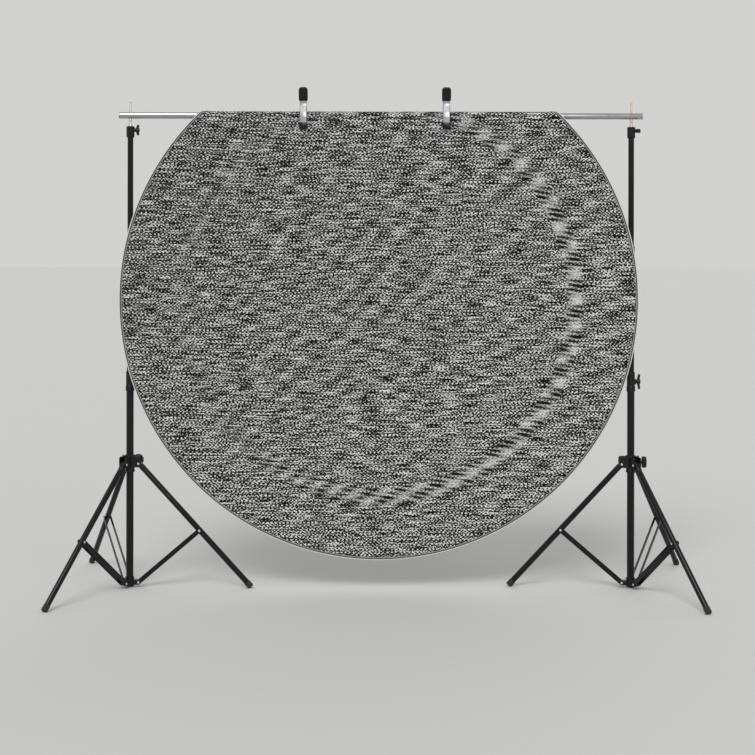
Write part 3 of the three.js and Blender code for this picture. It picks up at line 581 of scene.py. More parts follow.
class BarSizes(bpy.types.PropertyGroup):
    """The crossbar, its joint and its end caps."""
    span: length("Bar length", 1.994, "Length of the bar between its caps")
    radius: length("Bar radius", 0.0125, "Outer radius of the bar")
    wall: length("Bar wall", 0.0012, "Wall of the tube")
    height: length("Bar height", 1.801, "Height of the bar's middle")
    cap_rim: length("Cap rim", 0.003, "Thickness of each end cap outside the tube")
    joint_gap: length("Joint gap", 0.0003, "Gap between the two sections")


class ColumnSizes(bpy.types.PropertyGroup):
    """The telescoping columns with their lock collars and spigots."""
    spacing: length("Stand spacing", 1.914, "Distance between the two columns")
    turned: turn("Stand turn", -2.2, "Turn of both stands about their columns")
    lower_radius: length("Lower tube radius", 0.014, "Outer radius of the lowest tube")
    middle_radius: length("Middle tube radius", 0.0125, "Outer radius of the middle tube")
    upper_radius: length("Upper tube radius", 0.011, "Outer radius of the top tube")
    wall: length("Tube wall", 0.0012, "Wall of every column tube")
    lower_foot: length("Lower tube foot", 0.007, "Height of the lowest tube's foot")
    lower_top: length("Lower tube top", 0.765, "Height of the lowest tube's top")
    middle_top: length("Middle tube top", 1.262, "Height of the middle tube's top")
    upper_top: length("Upper tube top", 1.731, "Height of the top tube's top")
    middle_length: length("Middle tube length", 0.680, "Whole length of the middle tube")
    upper_length: length("Upper tube length", 0.690, "Whole length of the top tube")
    lock_wall: length("Lock collar wall", 0.0026, "Wall of each lock collar")
    lock_skirt: length("Lock collar skirt", 0.016, "How far a lock collar grips the outer tube")
    lower_neck: length("Lower collar neck", 0.058, "How far the lower collar grips the inner tube")
    middle_neck: length("Middle collar neck", 0.042, "How far the middle collar grips the inner tube")
    socket_foot: length("Socket foot", 1.716, "Height of the spigot socket's foot")
    socket_top: length("Socket top", 1.759, "Height of the spigot socket's top")
    socket_wall: length("Socket wall", 0.0042, "Wall of the spigot socket")
    spigot_radius: length("Spigot radius", 0.0064, "Radius of the brass spigot")
    flange_radius: length("Spigot flange", 0.010, "Radius of the ring at the spigot's foot")
    stud_radius: length("Stud radius", 0.004, "Radius of the stud that passes through the bar")
    stud_top: length("Stud top", 1.859, "Height of the stud's tip")
    fit: length("Fit", CLEARANCE, "Clearance between pieces that slide or nest")


class KnobSizes(bpy.types.PropertyGroup):
    """The clamping knobs."""
    boss_radius: length("Boss radius", 0.007, "Radius of the boss that a knob screws into")
    boss_reach: length("Boss reach", 0.004, "How far a boss stands out of its collar")
    screw_radius: length("Screw radius", 0.003, "Radius of a clamping screw")
    hub_radius: length("Knob hub radius", 0.008, "Radius of a winged knob's hub")
    hub_length: length("Knob hub length", 0.015, "Length of a winged knob's hub")
    wing_thickness: length("Wing thickness", 0.007, "Thickness of a knob's wings")
    large_span: length("Large knob span", 0.062, "Tip to tip size of the lower lock knob")
    small_span: length("Small knob span", 0.044, "Tip to tip size of the other winged knobs")
    disc_radius: length("Disc knob radius", 0.0215, "Radius of the leg collar's ribbed knob")
    disc_thickness: length("Disc knob thickness", 0.016, "Thickness of the ribbed knob")
    disc_standoff: length("Disc knob standoff", 0.020, "Shank between the boss and the ribbed knob")
    shank_radius: length("Shank radius", 0.0055, "Radius of the ribbed knob's shank")
    rib_depth: length("Rib depth", 0.0016, "Depth of the knob's ribs")
    ribs: count("Ribs", 20, "Number of ribs round the disc knob")


class TripodSizes(bpy.types.PropertyGroup):
    """The folding legs, their collar, hub, braces and feet."""
    pivot_radius: length("Pivot radius", 0.035, "Distance of each leg pivot from the column")
    pivot_height: length("Pivot height", 0.4715, "Height of the leg pivots")
    foot_radius: length("Foot radius", 0.4695, "Distance of each foot from the column")
    leg_radius: length("Leg radius", 0.011, "Outer radius of a leg tube")
    leg_wall: length("Leg wall", 0.0012, "Wall of a leg tube")
    tongue_width: length("Tongue width", 0.020, "Width of a leg's end between the cheeks")
    setback: length("Tube setback", 0.008, "Distance from the pivot to the start of the leg tube")
    collar_foot: length("Collar foot", 0.440, "Height of the leg collar's foot")
    collar_top: length("Collar top", 0.505, "Height of the leg collar's top")
    collar_wall: length("Collar wall", 0.0037, "Wall of the leg collar")
    cheek_thickness: length("Cheek thickness", 0.004, "Thickness of each cheek beside a leg")
    cheek_reach: length("Cheek reach", 0.046, "How far the cheeks reach from the column's middle")
    cheek_foot: length("Cheek foot", 0.458, "Height of the cheeks' foot")
    cheek_top: length("Cheek top", 0.501, "Height of the cheeks' top")
    cheek_corner: length("Cheek corner", 0.008, "Radius of the cheeks' corners")
    rivet_head: length("Rivet head", 0.0048, "Radius of a rivet's head")
    rivet_rise: length("Rivet rise", 0.0016, "Height of a rivet's head")
    hub_pivot: length("Hub pivot height", 0.019, "Height of the brace pivots on the foot hub")
    hub_foot: length("Hub foot", 0.004, "Height of the foot hub's underside")
    hub_top: length("Hub top", 0.038, "Height of the foot hub's top")
    hub_wall: length("Hub wall", 0.0024, "Wall of the foot hub")
    lug_width: length("Lug width", 0.025, "Width of each lug on the foot hub")
    lug_reach: length("Lug reach", 0.044, "How far a lug reaches from the column's middle")
    lug_radius: length("Lug radius", 0.009, "Radius of a lug's rounded end")
    strip_half_width: length("Strip half width", 0.008, "Half the width of a brace strip")
    strip_thickness: length("Strip thickness", 0.0022, "Thickness of a brace strip")
    attach: FloatProperty(name="Brace place", description="How far down the leg its brace is riveted, as a share",
                          default=0.537, min=0.0, max=1.0)
    boot_wall: length("Boot wall", 0.0009, "Wall of a rubber foot")
    boot_length: length("Boot length", 0.024, "Length of a rubber foot")
    boot_sole: length("Boot sole", 0.009, "Thickness of a rubber foot's sole")
    boot_end: length("Boot end", 0.63537, "Distance from the pivot to the rubber foot's end")


class ClampSizes(bpy.types.PropertyGroup):
    """The spring clamps."""
    left_place: FloatProperty(name="Left clamp", description="Place of the left clamp along the bar",
                              default=-0.296, unit="LENGTH")
    right_place: FloatProperty(name="Right clamp", description="Place of the right clamp along the bar",
                               default=0.250, unit="LENGTH")
    pin_height: length("Pin height", 1.8258, "Height of the pivot pin")
    arm_width: length("Arm width", 0.027, "Width of the front arm")
    plate: length("Arm plate", 0.0016, "Thickness of the steel")
    handle_rise: length("Handle rise", 0.080, "Height of the handle's end above the pin")
    neck_rise: length("Neck rise", 0.024, "Height of the bend above the pin")
    neck_out: length("Neck out", 0.017, "Distance of the bend in front of the pin")
    splay: length("Handle splay", 0.014, "How far the handle leans out above the bend")
    bow_drop: length("Bow drop", 0.022, "Drop of the lower bend below the pin")
    jaw_drop: length("Jaw drop", 0.077, "Drop of the jaw's end below the pin")
    jaw_inner: length("Jaw face", 0.0203, "Distance of the pad's gripping face from the middle")
    jaw_depth: length("Jaw depth", 0.004, "Depth of the pressed channel at the jaw")
    pad_wall: length("Pad wall", 0.0025, "Thickness of the dipped pad")
    pad_height: length("Pad height", 0.026, "Height of the dipped pad")
    pad_width: length("Pad width", 0.031, "Width of the dipped pad")
    grip_width: length("Grip width", 0.034, "Width of the dipped grip")
    grip_wall: length("Grip wall", 0.002, "Thickness of the dipped grip")
    grip_start: length("Grip start", 0.031, "Height above the pin where the grip starts")
    ear_radius: length("Ear radius", 0.007, "Radius of the ears round the pin")
    flange: length("Flange", 0.009, "Depth of the handle's side flanges")
    pin_radius: length("Pin radius", 0.003, "Radius of the pivot pin")
    wire: length("Spring wire", 0.0018, "Thickness of the spring's wire")
    coils: count("Coils", 4, "Number of turns in the spring")


class StageSizes(bpy.types.PropertyGroup):
    """The floor, the light and the camera."""
    eye: FloatVectorProperty(name="Eye", description="Place of the camera", default=(-0.0124, -6.2635, 1.4756),
                             size=3, subtype="XYZ", unit="LENGTH")
    heading: turn("Heading", 0.0, "Turn of the camera about the vertical")
    roll: turn("Roll", 0.09, "Turn of the camera about its own axis")
    lens: FloatProperty(name="Lens", description="Focal length for a 36 mm frame", default=78.13, min=1.0)
    shift: FloatProperty(name="Shift", description="Rise of the frame, as a share of its height", default=-0.2338)
    floor_size: length("Floor size", 60.0, "Side of the floor")
    floor_colour: colour("Floor", (0.64, 0.64, 0.632), "Colour of the floor")
    ambient: FloatProperty(name="Ambient", description="Strength of the light from all round", default=0.57,
                           min=0.0)
    key: FloatProperty(name="Key light", description="Strength of the soft front light", default=1.31, min=0.0)
    backdrop_share: FloatProperty(name="Backdrop", default=1.0, min=0.0,
                                  description="Brightness of the backdrop against the floor's colour")


GROUPS = {"backdrop_cloth": ClothSizes, "backdrop_bar": BarSizes, "backdrop_columns": ColumnSizes,
          "backdrop_knobs": KnobSizes, "backdrop_tripods": TripodSizes, "backdrop_clamps": ClampSizes,
          "backdrop_stage": StageSizes}


# ---------------------------------------------------------------- where things stand

SEAT = 0.003  # gap between the bar and the middle of the cloth that lies on it: half the tape and its clearance
TAPE_GAP = 0.0004  # that clearance, between the folded tape and the bar


def cloth_surface(across, along, lift=0.0):
    """The flat cut laid over the bar. With R the fold's radius and s the distance from the crown, minus down the
    front, the cloth turns through a = -s / R, held between a quarter turn back and a quarter turn less the lean
    in front, and runs straight on for the rest d of its length:
    y = -(R + lift) sin a - d cos a, z = top + (R + lift) cos a - d sin a."""
    cloth, bar = bpy.context.scene.backdrop_cloth, bpy.context.scene.backdrop_bar
    bend = cloth.fold_radius
    across, along, lift = np.broadcast_arrays(across, along, lift)
    angle = np.clip(-along / bend, -np.pi / 2, np.pi / 2 - cloth.lean)
    rest = -along - angle * bend
    top = bar.height + bar.radius + SEAT - bend
    y = -(bend + lift) * np.sin(angle) - rest * np.cos(angle)
    z = top + (bend + lift) * np.cos(angle) - rest * np.sin(angle)
    return np.stack([cloth.centre_offset + across, y, z], axis=-1)


def disc_centre():
    """Distance of the disc's centre from the crown of the fold, along the cloth."""
    cloth, bar = bpy.context.scene.backdrop_cloth, bpy.context.scene.backdrop_bar
    top = bar.height + bar.radius + SEAT - cloth.fold_radius
    return -cloth.fold_radius * (math.pi / 2 - cloth.lean) - (top - cloth.centre_height) / math.cos(cloth.lean)


def stand_matrix(side):
    """From a stand's own frame, with its first leg along +X, to its place under the bar."""
    columns = bpy.context.scene.backdrop_columns
    sign = -1 if side == "left" else 1
    heading = columns.turned if side == "left" else columns.turned + math.pi
    return Matrix.Translation((sign * columns.spacing / 2, 0, 0)) @ Matrix.Rotation(heading, 4, "Z")


def around_column(number):
    """The turn about the column from the first leg to the leg of that number."""
    return Matrix.Rotation((number - 1) * FULL_TURN / len(LEG_NUMBERS), 4, "Z")


def leg_matrix(side, number, height, lean=0.0):
    """From a leg's or brace's own frame, hanging from its pivot, to its place on a stand."""
    tripod = bpy.context.scene.backdrop_tripods
    place = Matrix.Translation((tripod.pivot_radius, 0, height)) @ Matrix.Rotation(lean, 4, "Y")
    return stand_matrix(side) @ around_column(number) @ place


def leg_lean():
    tripod = bpy.context.scene.backdrop_tripods
    return math.atan2(tripod.foot_radius - tripod.pivot_radius, tripod.pivot_height)


def brace_run():
    """Length and lean of a brace, from the hub's pivot to its rivet on the leg."""
    tripod = bpy.context.scene.backdrop_tripods
    out = tripod.attach * (tripod.foot_radius - tripod.pivot_radius)
    up = tripod.pivot_height * (1 - tripod.attach) - tripod.hub_pivot
    return math.hypot(out, up), math.atan2(out, up)


KNOB_TURNS = {"left": {"leg": 60, "lower": 90, "middle": 90, "upper": 0},
              "right": {"leg": 180, "lower": 180, "middle": -90, "upper": 180}}
KNOB_SCREWED = {("right", "upper"): 90}  # how far a knob is screwed round its own axis


def knob_places(side):
    """For each knob: its height, its turn from the first leg, the radius its screw bears on and its boss's end."""
    columns, knobs = bpy.context.scene.backdrop_columns, bpy.context.scene.backdrop_knobs
    tripod = bpy.context.scene.backdrop_tripods
    wall = columns.fit + columns.lock_wall + knobs.boss_reach
    socket = columns.upper_radius + columns.fit + columns.socket_wall
    ends = {"leg": columns.lower_radius + columns.fit + tripod.collar_wall + knobs.boss_reach,
            "lower": columns.lower_radius + wall, "middle": columns.middle_radius + wall,
            "upper": socket + knobs.boss_reach}
    heights = {"leg": (tripod.cheek_foot + tripod.cheek_top) / 2,
               "lower": columns.lower_top + columns.lower_neck * 0.38,
               "middle": columns.middle_top + columns.middle_neck / 2,
               "upper": (columns.upper_top + columns.socket_top) / 2}
    bears_on = {"leg": columns.lower_radius, "lower": columns.middle_radius, "middle": columns.upper_radius,
                "upper": columns.spigot_radius}
    return {name: (heights[name], math.radians(degrees), bears_on[name], ends[name])
            for name, degrees in KNOB_TURNS[side].items()}


def boss(inner, place):
    """The round boss that a knob screws into, lying along its own direction."""
    height, around, _, end = place
    knobs = bpy.context.scene.backdrop_knobs
    return moved(moved(rod(knobs.boss_radius, inner, end), ALONG_X),
                 Matrix.Translation((0, 0, height)) @ Matrix.Rotation(around, 4, "Z"))


LAMPS = (  # each one's name, place, width in degrees as the panel sees it, and share of the key light
    ("front_light", (-1.2, -4.6, 5.2), 28.0, 1.0),
    ("low_light", (0.7, -6.2, 1.9), 12.0, 0.17),
    ("back_light", (1.5, 4.6, 4.2), 30.0, 0.15))


# ---------------------------------------------------------------- operators

class Build(bpy.types.Operator):
    """Shared by every operator that builds pieces."""
    bl_idname = "backdrop.build"
    bl_label = "Build"
    bl_options = {"REGISTER", "UNDO"}


class BuildCloth(Build):
    """Lays the round cloth over the bar"""
    bl_idname = "backdrop.build_cloth"
    bl_label = "Cloth"

    def execute(self, context):
        cloth = context.scene.backdrop_cloth
        radius = cloth.radius - cloth.tape_width * 0.55
        centre = disc_centre()
        even = centre + radius * np.cos(np.linspace(0.012, np.pi - 0.012, 190))
        bend = cloth.fold_radius * np.pi / 2
        # rows lie close together where the cloth bends over the bar
        rows = np.sort(np.concatenate([even[np.abs(even) > bend * 1.15], np.linspace(-bend * 1.1, bend * 1.1, 32)]))
        share = np.linspace(-1, 1, 121)
        half_width = np.sqrt(radius ** 2 - (rows - centre) ** 2)[:, None]
        across, along = share * half_width, np.broadcast_to(rows[:, None], (len(rows), len(share)))
        lift = self.relief(cloth, across, along - centre, along, radius)
        flat = np.stack([across, along - centre], axis=-1).reshape(-1, 2)
        piece = as_object("cloth_panel", grid_shell(cloth_surface(across, along, lift)), flat=flat)
        thick = piece.modifiers.new("Thickness", "SOLIDIFY")
        thick.thickness = cloth.thickness
        thick.offset = 0.0
        settled(piece)
        fitted(piece, "crossbar", "grey_cloth", "heathered_cloth", "panel_cloth")
        return {"FINISHED"}

    @staticmethod
    def relief(cloth, across, down, along, radius):
        """Slow waves w = sin 3.4x sin(2.6s + 0.7) + 0.5 sin(5.5x - 3.1s) in the hanging sheet, which die out at
        the bar and at the hoop, and small gathers sin(260 angle) that die out in from the rim."""
        reach = np.hypot(across, down) / radius
        hanging = np.clip((-along - 0.04) / 0.25, 0, 1)
        waves = np.sin(3.4 * across) * np.sin(2.6 * down + 0.7) + 0.5 * np.sin(5.5 * across - 3.1 * down)
        inside = np.clip((1 - reach) / 0.12, 0, 1)
        gathers = np.sin(260 * np.arctan2(across, down)) * np.exp(-(1 - reach) * radius / 0.012)
        loose = np.clip((np.abs(along) - 0.03) / 0.03, 0, 1)
        return cloth.ripple * waves * hanging * inside + cloth.pucker * gathers * loose


class BuildBinding(Build):
    """Folds the binding tape round the rim and stitches it down"""
    bl_idname = "backdrop.build_binding"
    bl_label = "Binding"

    def execute(self, context):
        """The tape's section runs out, round the rim and back, then in again along its slot. Each of its points
        is a radius and a lift, and is carried to every angle round the flat disc before the disc is laid."""
        cloth = context.scene.backdrop_cloth
        centre = disc_centre()
        edge, mouth = cloth.radius, cloth.radius - cloth.tape_width
        half = SEAT - TAPE_GAP
        slot = half - cloth.tape_wall
        bend = cloth.fold_radius * np.pi / 2
        crossing = np.arccos((np.array([bend, -bend]) * 1.15 - centre) / edge)
        near = np.linspace(*crossing, 90)  # angles close together where the rim crosses the bar
        angle = np.sort(np.concatenate([np.linspace(0, 2 * np.pi, 1201), near, 2 * np.pi - near]))
        section = np.concatenate([
            rounded([(mouth, half, 0), (edge, half, 0.0022), (edge, -half, 0.0022), (mouth, -half, 0)], 6),
            [(mouth, -slot), (edge - cloth.tape_wall, -slot), (edge - cloth.tape_wall, slot), (mouth, slot)]])
        gather = 1 + 0.0001 * np.sin(angle * 330)[:, None] + 0.00006 * np.sin(angle * 97 + 1.0)[:, None]
        radius = section[:, 0] * np.where(section[:, 0] > mouth + 1e-5, 1.0, gather)
        lift = section[:, 1] * (1 + 0.05 * np.sin(angle * 210)[:, None] * (section[:, 0] < edge - 0.004))
        along = centre + radius * np.cos(angle)[:, None]
        points = cloth_surface(radius * np.sin(angle)[:, None], along, lift)
        inward = np.clip((edge - section[:, 0]) / cloth.tape_width, 0, 1)
        flat = np.stack(np.broadcast_arrays(angle[:, None] * edge, inward), axis=-1).reshape(-1, 2)
        piece = as_object("binding_tape_rim", grid_shell(points, wrap_columns=True), flat=flat)
        fitted(piece, "crossbar", "binding_cloth", "binding_tape", "panel_rim_binding")
        return {"FINISHED"}


class BuildBar(Build):
    """Makes the two sections of the crossbar and their end caps"""
    bl_idname = "backdrop.build_bar"
    bl_label = "Crossbar"

    def execute(self, context):
        bar = context.scene.backdrop_bar
        level = Matrix.Translation((0, 0, bar.height)) @ ALONG_X
        bore = bar.radius - bar.wall
        plug = bore - CLEARANCE
        for side, facing in (("left", Matrix.Rotation(math.pi, 4, "Z")), ("right", Matrix())):
            tube = moved(moved(pipe(bar.radius, bore, bar.joint_gap / 2, bar.span / 2, sides=64), level), facing)
            fitted(as_object(f"{side}_bar_tube", tube), "crossbar", "bright_aluminium", "polished_aluminium",
                   f"crossbar_{side}_section")
            end = bar.span / 2 + bar.joint_gap
            profile = rounded([
                (0, end - 0.018, 0), (plug, end - 0.018, 0.0008), (plug, end, 0),
                (bar.radius, end, 0.0003), (bar.radius, end + bar.cap_rim, 0.0016),
                (bar.radius * 0.55, end + bar.cap_rim, 0.0006), (bar.radius * 0.5, end + bar.cap_rim * 0.7, 0.0006),
                (0, end + bar.cap_rim * 0.7, 0)])
            cap = moved(moved(revolved(profile, 64), level), facing)
            fitted(as_object(f"{side}_bar_cap", cap), "crossbar", "bright_aluminium", "polished_aluminium",
                   f"crossbar_{side}_cap")
        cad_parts["crossbar_ferrule"].data.materials[0] = finish("rivet_steel")
        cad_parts["panel_spring_hoop"].data.materials[0] = finish("rivet_steel")
        return {"FINISHED"}


class BuildClamps(Build):
    """Makes both spring clamps: pressed arms, dipped grips and pads, pin and coil"""
    bl_idname = "backdrop.build_clamps"
    bl_label = "Clamps"

    def execute(self, context):
        clamp = context.scene.backdrop_clamps
        places = {"left": clamp.left_place, "right": clamp.right_place}
        for side, place in places.items():
            here = Matrix.Translation((place, 0, clamp.pin_height))
            rear_width = clamp.arm_width - 2 * (clamp.plate + CLEARANCE)
            arms = (("front", clamp.arm_width, here, f"{side}_jaw"),
                    ("rear", rear_width, here @ Matrix.Rotation(math.pi, 4, "Z"), "crossbar"))
            for name, width, matrix, body in arms:
                arm = as_object(f"{side}_{name}_pressing", moved(self.pressing(clamp, width), matrix), 50.0)
                wall = arm.modifiers.new("Plate", "SOLIDIFY")
                wall.thickness, wall.offset = clamp.plate * 0.9, -1.0
                wall.use_even_offset = True
                settled(arm)
                fitted(arm, body, "zinc_plate", "bright_zinc", f"{side}_clamp_{name}_arm")
                dips = {"grip": self.grip(clamp, width), "pad": self.pad(clamp, width)}
                for dip, shell in dips.items():
                    fitted(as_object(f"{side}_{name}_{dip}", moved(shell, matrix), 60.0), body, "black_plastic",
                           "dipped_vinyl")
            fitted(as_object(f"{side}_pivot_pin", moved(self.pin(clamp), here)), "crossbar", "spring_steel",
                   "rivet_steel", f"{side}_clamp_pin")
            fitted(as_object(f"{side}_coil", moved(self.coil(clamp), here)), "crossbar", "spring_steel",
                   "rivet_steel", f"{side}_clamp_spring")
        return {"FINISHED"}

    @staticmethod
    def pressing(clamp, width):
        """A channel whose web follows the arm from handle to jaw. At each height its section runs from one
        flange's edge round a pressed corner, over the web and back, and the flanges' depth swells into the ears."""
        outer = clamp.jaw_inner + clamp.pad_wall + clamp.jaw_depth
        web = rounded([(-(clamp.neck_out + clamp.splay), clamp.handle_rise, 0),
                       (-clamp.neck_out, clamp.neck_rise, 0.012), (-outer, -clamp.bow_drop, 0.014),
                       (-outer, clamp.pad_wall - clamp.jaw_drop, 0)], 8)
        height = np.concatenate([np.linspace(clamp.handle_rise, 0.009, 34), np.linspace(0.0085, -0.0085, 36),
                                 np.linspace(-0.009, clamp.pad_wall - clamp.jaw_drop, 34)])
        web_y = np.interp(-height, -web[:, 1], web[:, 0])
        ear = clamp.ear_radius
        half_turn = np.linspace(0.15, np.pi - 0.15, 15)
        edge_z = np.concatenate([[clamp.handle_rise, clamp.neck_rise], ear * np.cos(half_turn),
                                 [-clamp.bow_drop * 0.55, -clamp.bow_drop, clamp.pad_wall - clamp.jaw_drop]])
        edge_y = np.concatenate([[web[0, 0] + clamp.flange, clamp.flange - clamp.neck_out], ear * np.sin(half_turn),
                                 [clamp.jaw_depth - outer * 0.62, clamp.jaw_depth - outer, clamp.jaw_depth - outer]])
        lip_y = np.maximum(np.interp(-height, -edge_z, edge_y), web_y + 0.0035)
        corner, half = 0.0028, width / 2
        share = np.linspace(0, 1, 7)[None, :]
        bend = np.linspace(0, np.pi / 2, 6)[None, :]
        start = (web_y + corner)[:, None]
        flange_y = lip_y[:, None] + (start - lip_y[:, None]) * share
        flange = np.stack([0 * flange_y - half, flange_y], axis=-1)
        arc = np.stack([corner - half - corner * np.cos(bend) + 0 * start, start - corner * np.sin(bend)], axis=-1)
        left = np.concatenate([flange, arc[:, 1:]], axis=1)
        section = np.concatenate([left, left[:, ::-1] * (-1, 1)], axis=1)
        z = np.broadcast_to(height[:, None, None], section.shape[:2] + (1,))
        return grid_shell(np.concatenate([section, z], axis=-1))

    @staticmethod
    def grip(clamp, width):
        """A dipped sleeve over the handle's top. Its section is a rounded box |x/a|^n + |y/b|^n = 1 with n = 4,
        whose half width a and half depth b close over the end like a quarter circle."""
        lean = math.atan2(clamp.splay, clamp.handle_rise - clamp.neck_rise)
        end = (clamp.handle_rise - clamp.neck_rise) / math.cos(lean) + clamp.grip_wall
        start = (clamp.grip_start - clamp.neck_rise) / math.cos(lean)
        cap = 0.011
        run = np.concatenate([np.linspace(start, end - cap, 22), end - cap * (1 - np.sin(np.linspace(0.1, 1.5, 16)))])
        over = np.clip((run - (end - cap)) / cap, 0, 1)
        wide = (clamp.grip_width - clamp.arm_width + width) / 2
        deep = clamp.flange / 2 * math.cos(lean) + clamp.grip_wall
        swell = 1 + 0.03 * np.sin((run - start) / (end - start) * np.pi) - 0.05 * np.exp(-(run - start) / 0.002)
        a = wide * swell * (0.35 + 0.65 * np.sqrt(1 - over ** 2))
        b = deep * swell * np.clip(np.sqrt(1 - over ** 6), 0.3, 1)
        angle = np.linspace(0, 2 * np.pi, 48, endpoint=False)
        box = np.abs(np.cos(angle)) ** 4 + np.abs(np.sin(angle)) ** 4
        ring = np.stack([np.cos(angle), np.sin(angle)], axis=-1) / box[:, None] ** 0.25
        x, y = a[:, None] * ring[:, 0], deep - clamp.grip_wall + b[:, None] * ring[:, 1]
        points = np.stack([x, y, np.broadcast_to(run[:, None], x.shape)], axis=-1)
        place = Matrix.Translation((0, -clamp.neck_out, clamp.neck_rise)) @ Matrix.Rotation(lean, 4, "X")
        return moved(grid_shell(points, wrap_columns=True, caps=True), place)

    @staticmethod
    def pad(clamp, width):
        """A dipped block round the jaw's end, a little narrower at its upper edge."""
        half = (clamp.pad_width - clamp.arm_width + width) / 2
        outer = clamp.jaw_inner + 2 * clamp.pad_wall + clamp.jaw_depth
        top = clamp.pad_height - clamp.jaw_drop
        outline = rounded_box_outline(-half, half, -clamp.jaw_drop, top, 0.0035)
        taper = 0.006
        outline[:, 0] *= 1 - 0.06 * np.clip((outline[:, 1] - top + taper) / taper, 0, 1)
        return shifted(slab(outline, outer - clamp.jaw_inner, 0.0012), y=-(outer + clamp.jaw_inner) / 2)

    @staticmethod
    def pin(clamp):
        """A rivet with a domed head at both ends: r falls with the cosine over each dome."""
        half, head, rise = clamp.arm_width / 2 + CLEARANCE, clamp.pin_radius * 1.53, 0.0015
        dome = np.linspace(0, np.pi / 2, 7)
        cap = np.stack([head * np.cos(dome), half + rise * np.sin(dome)], axis=1)
        profile = np.concatenate([cap[::-1] * (1, -1), [(clamp.pin_radius, -half), (clamp.pin_radius, half)], cap])
        return moved(revolved(profile, 32), ALONG_X)

    @staticmethod
    def coil(clamp):
        """A helix x = pitch t, y = R cos 2 pi t, z = R sin 2 pi t, whose last end runs straight up the rear arm."""
        radius, pitch = clamp.pin_radius + CLEARANCE + clamp.wire / 2, 0.0025
        t = np.linspace(-clamp.coils / 2, clamp.coils / 2, clamp.coils * 28 + 1)
        helix = np.stack([pitch * t, radius * np.cos(2 * np.pi * t), radius * np.sin(2 * np.pi * t)], axis=1)
        step = 0.0011
        tail = helix[-1] + np.arange(1, 13)[:, None] * (0, 0, step)
        return swept(circle(clamp.wire / 2, 12), np.concatenate([helix, tail]), ahead=(1, 0, 0))


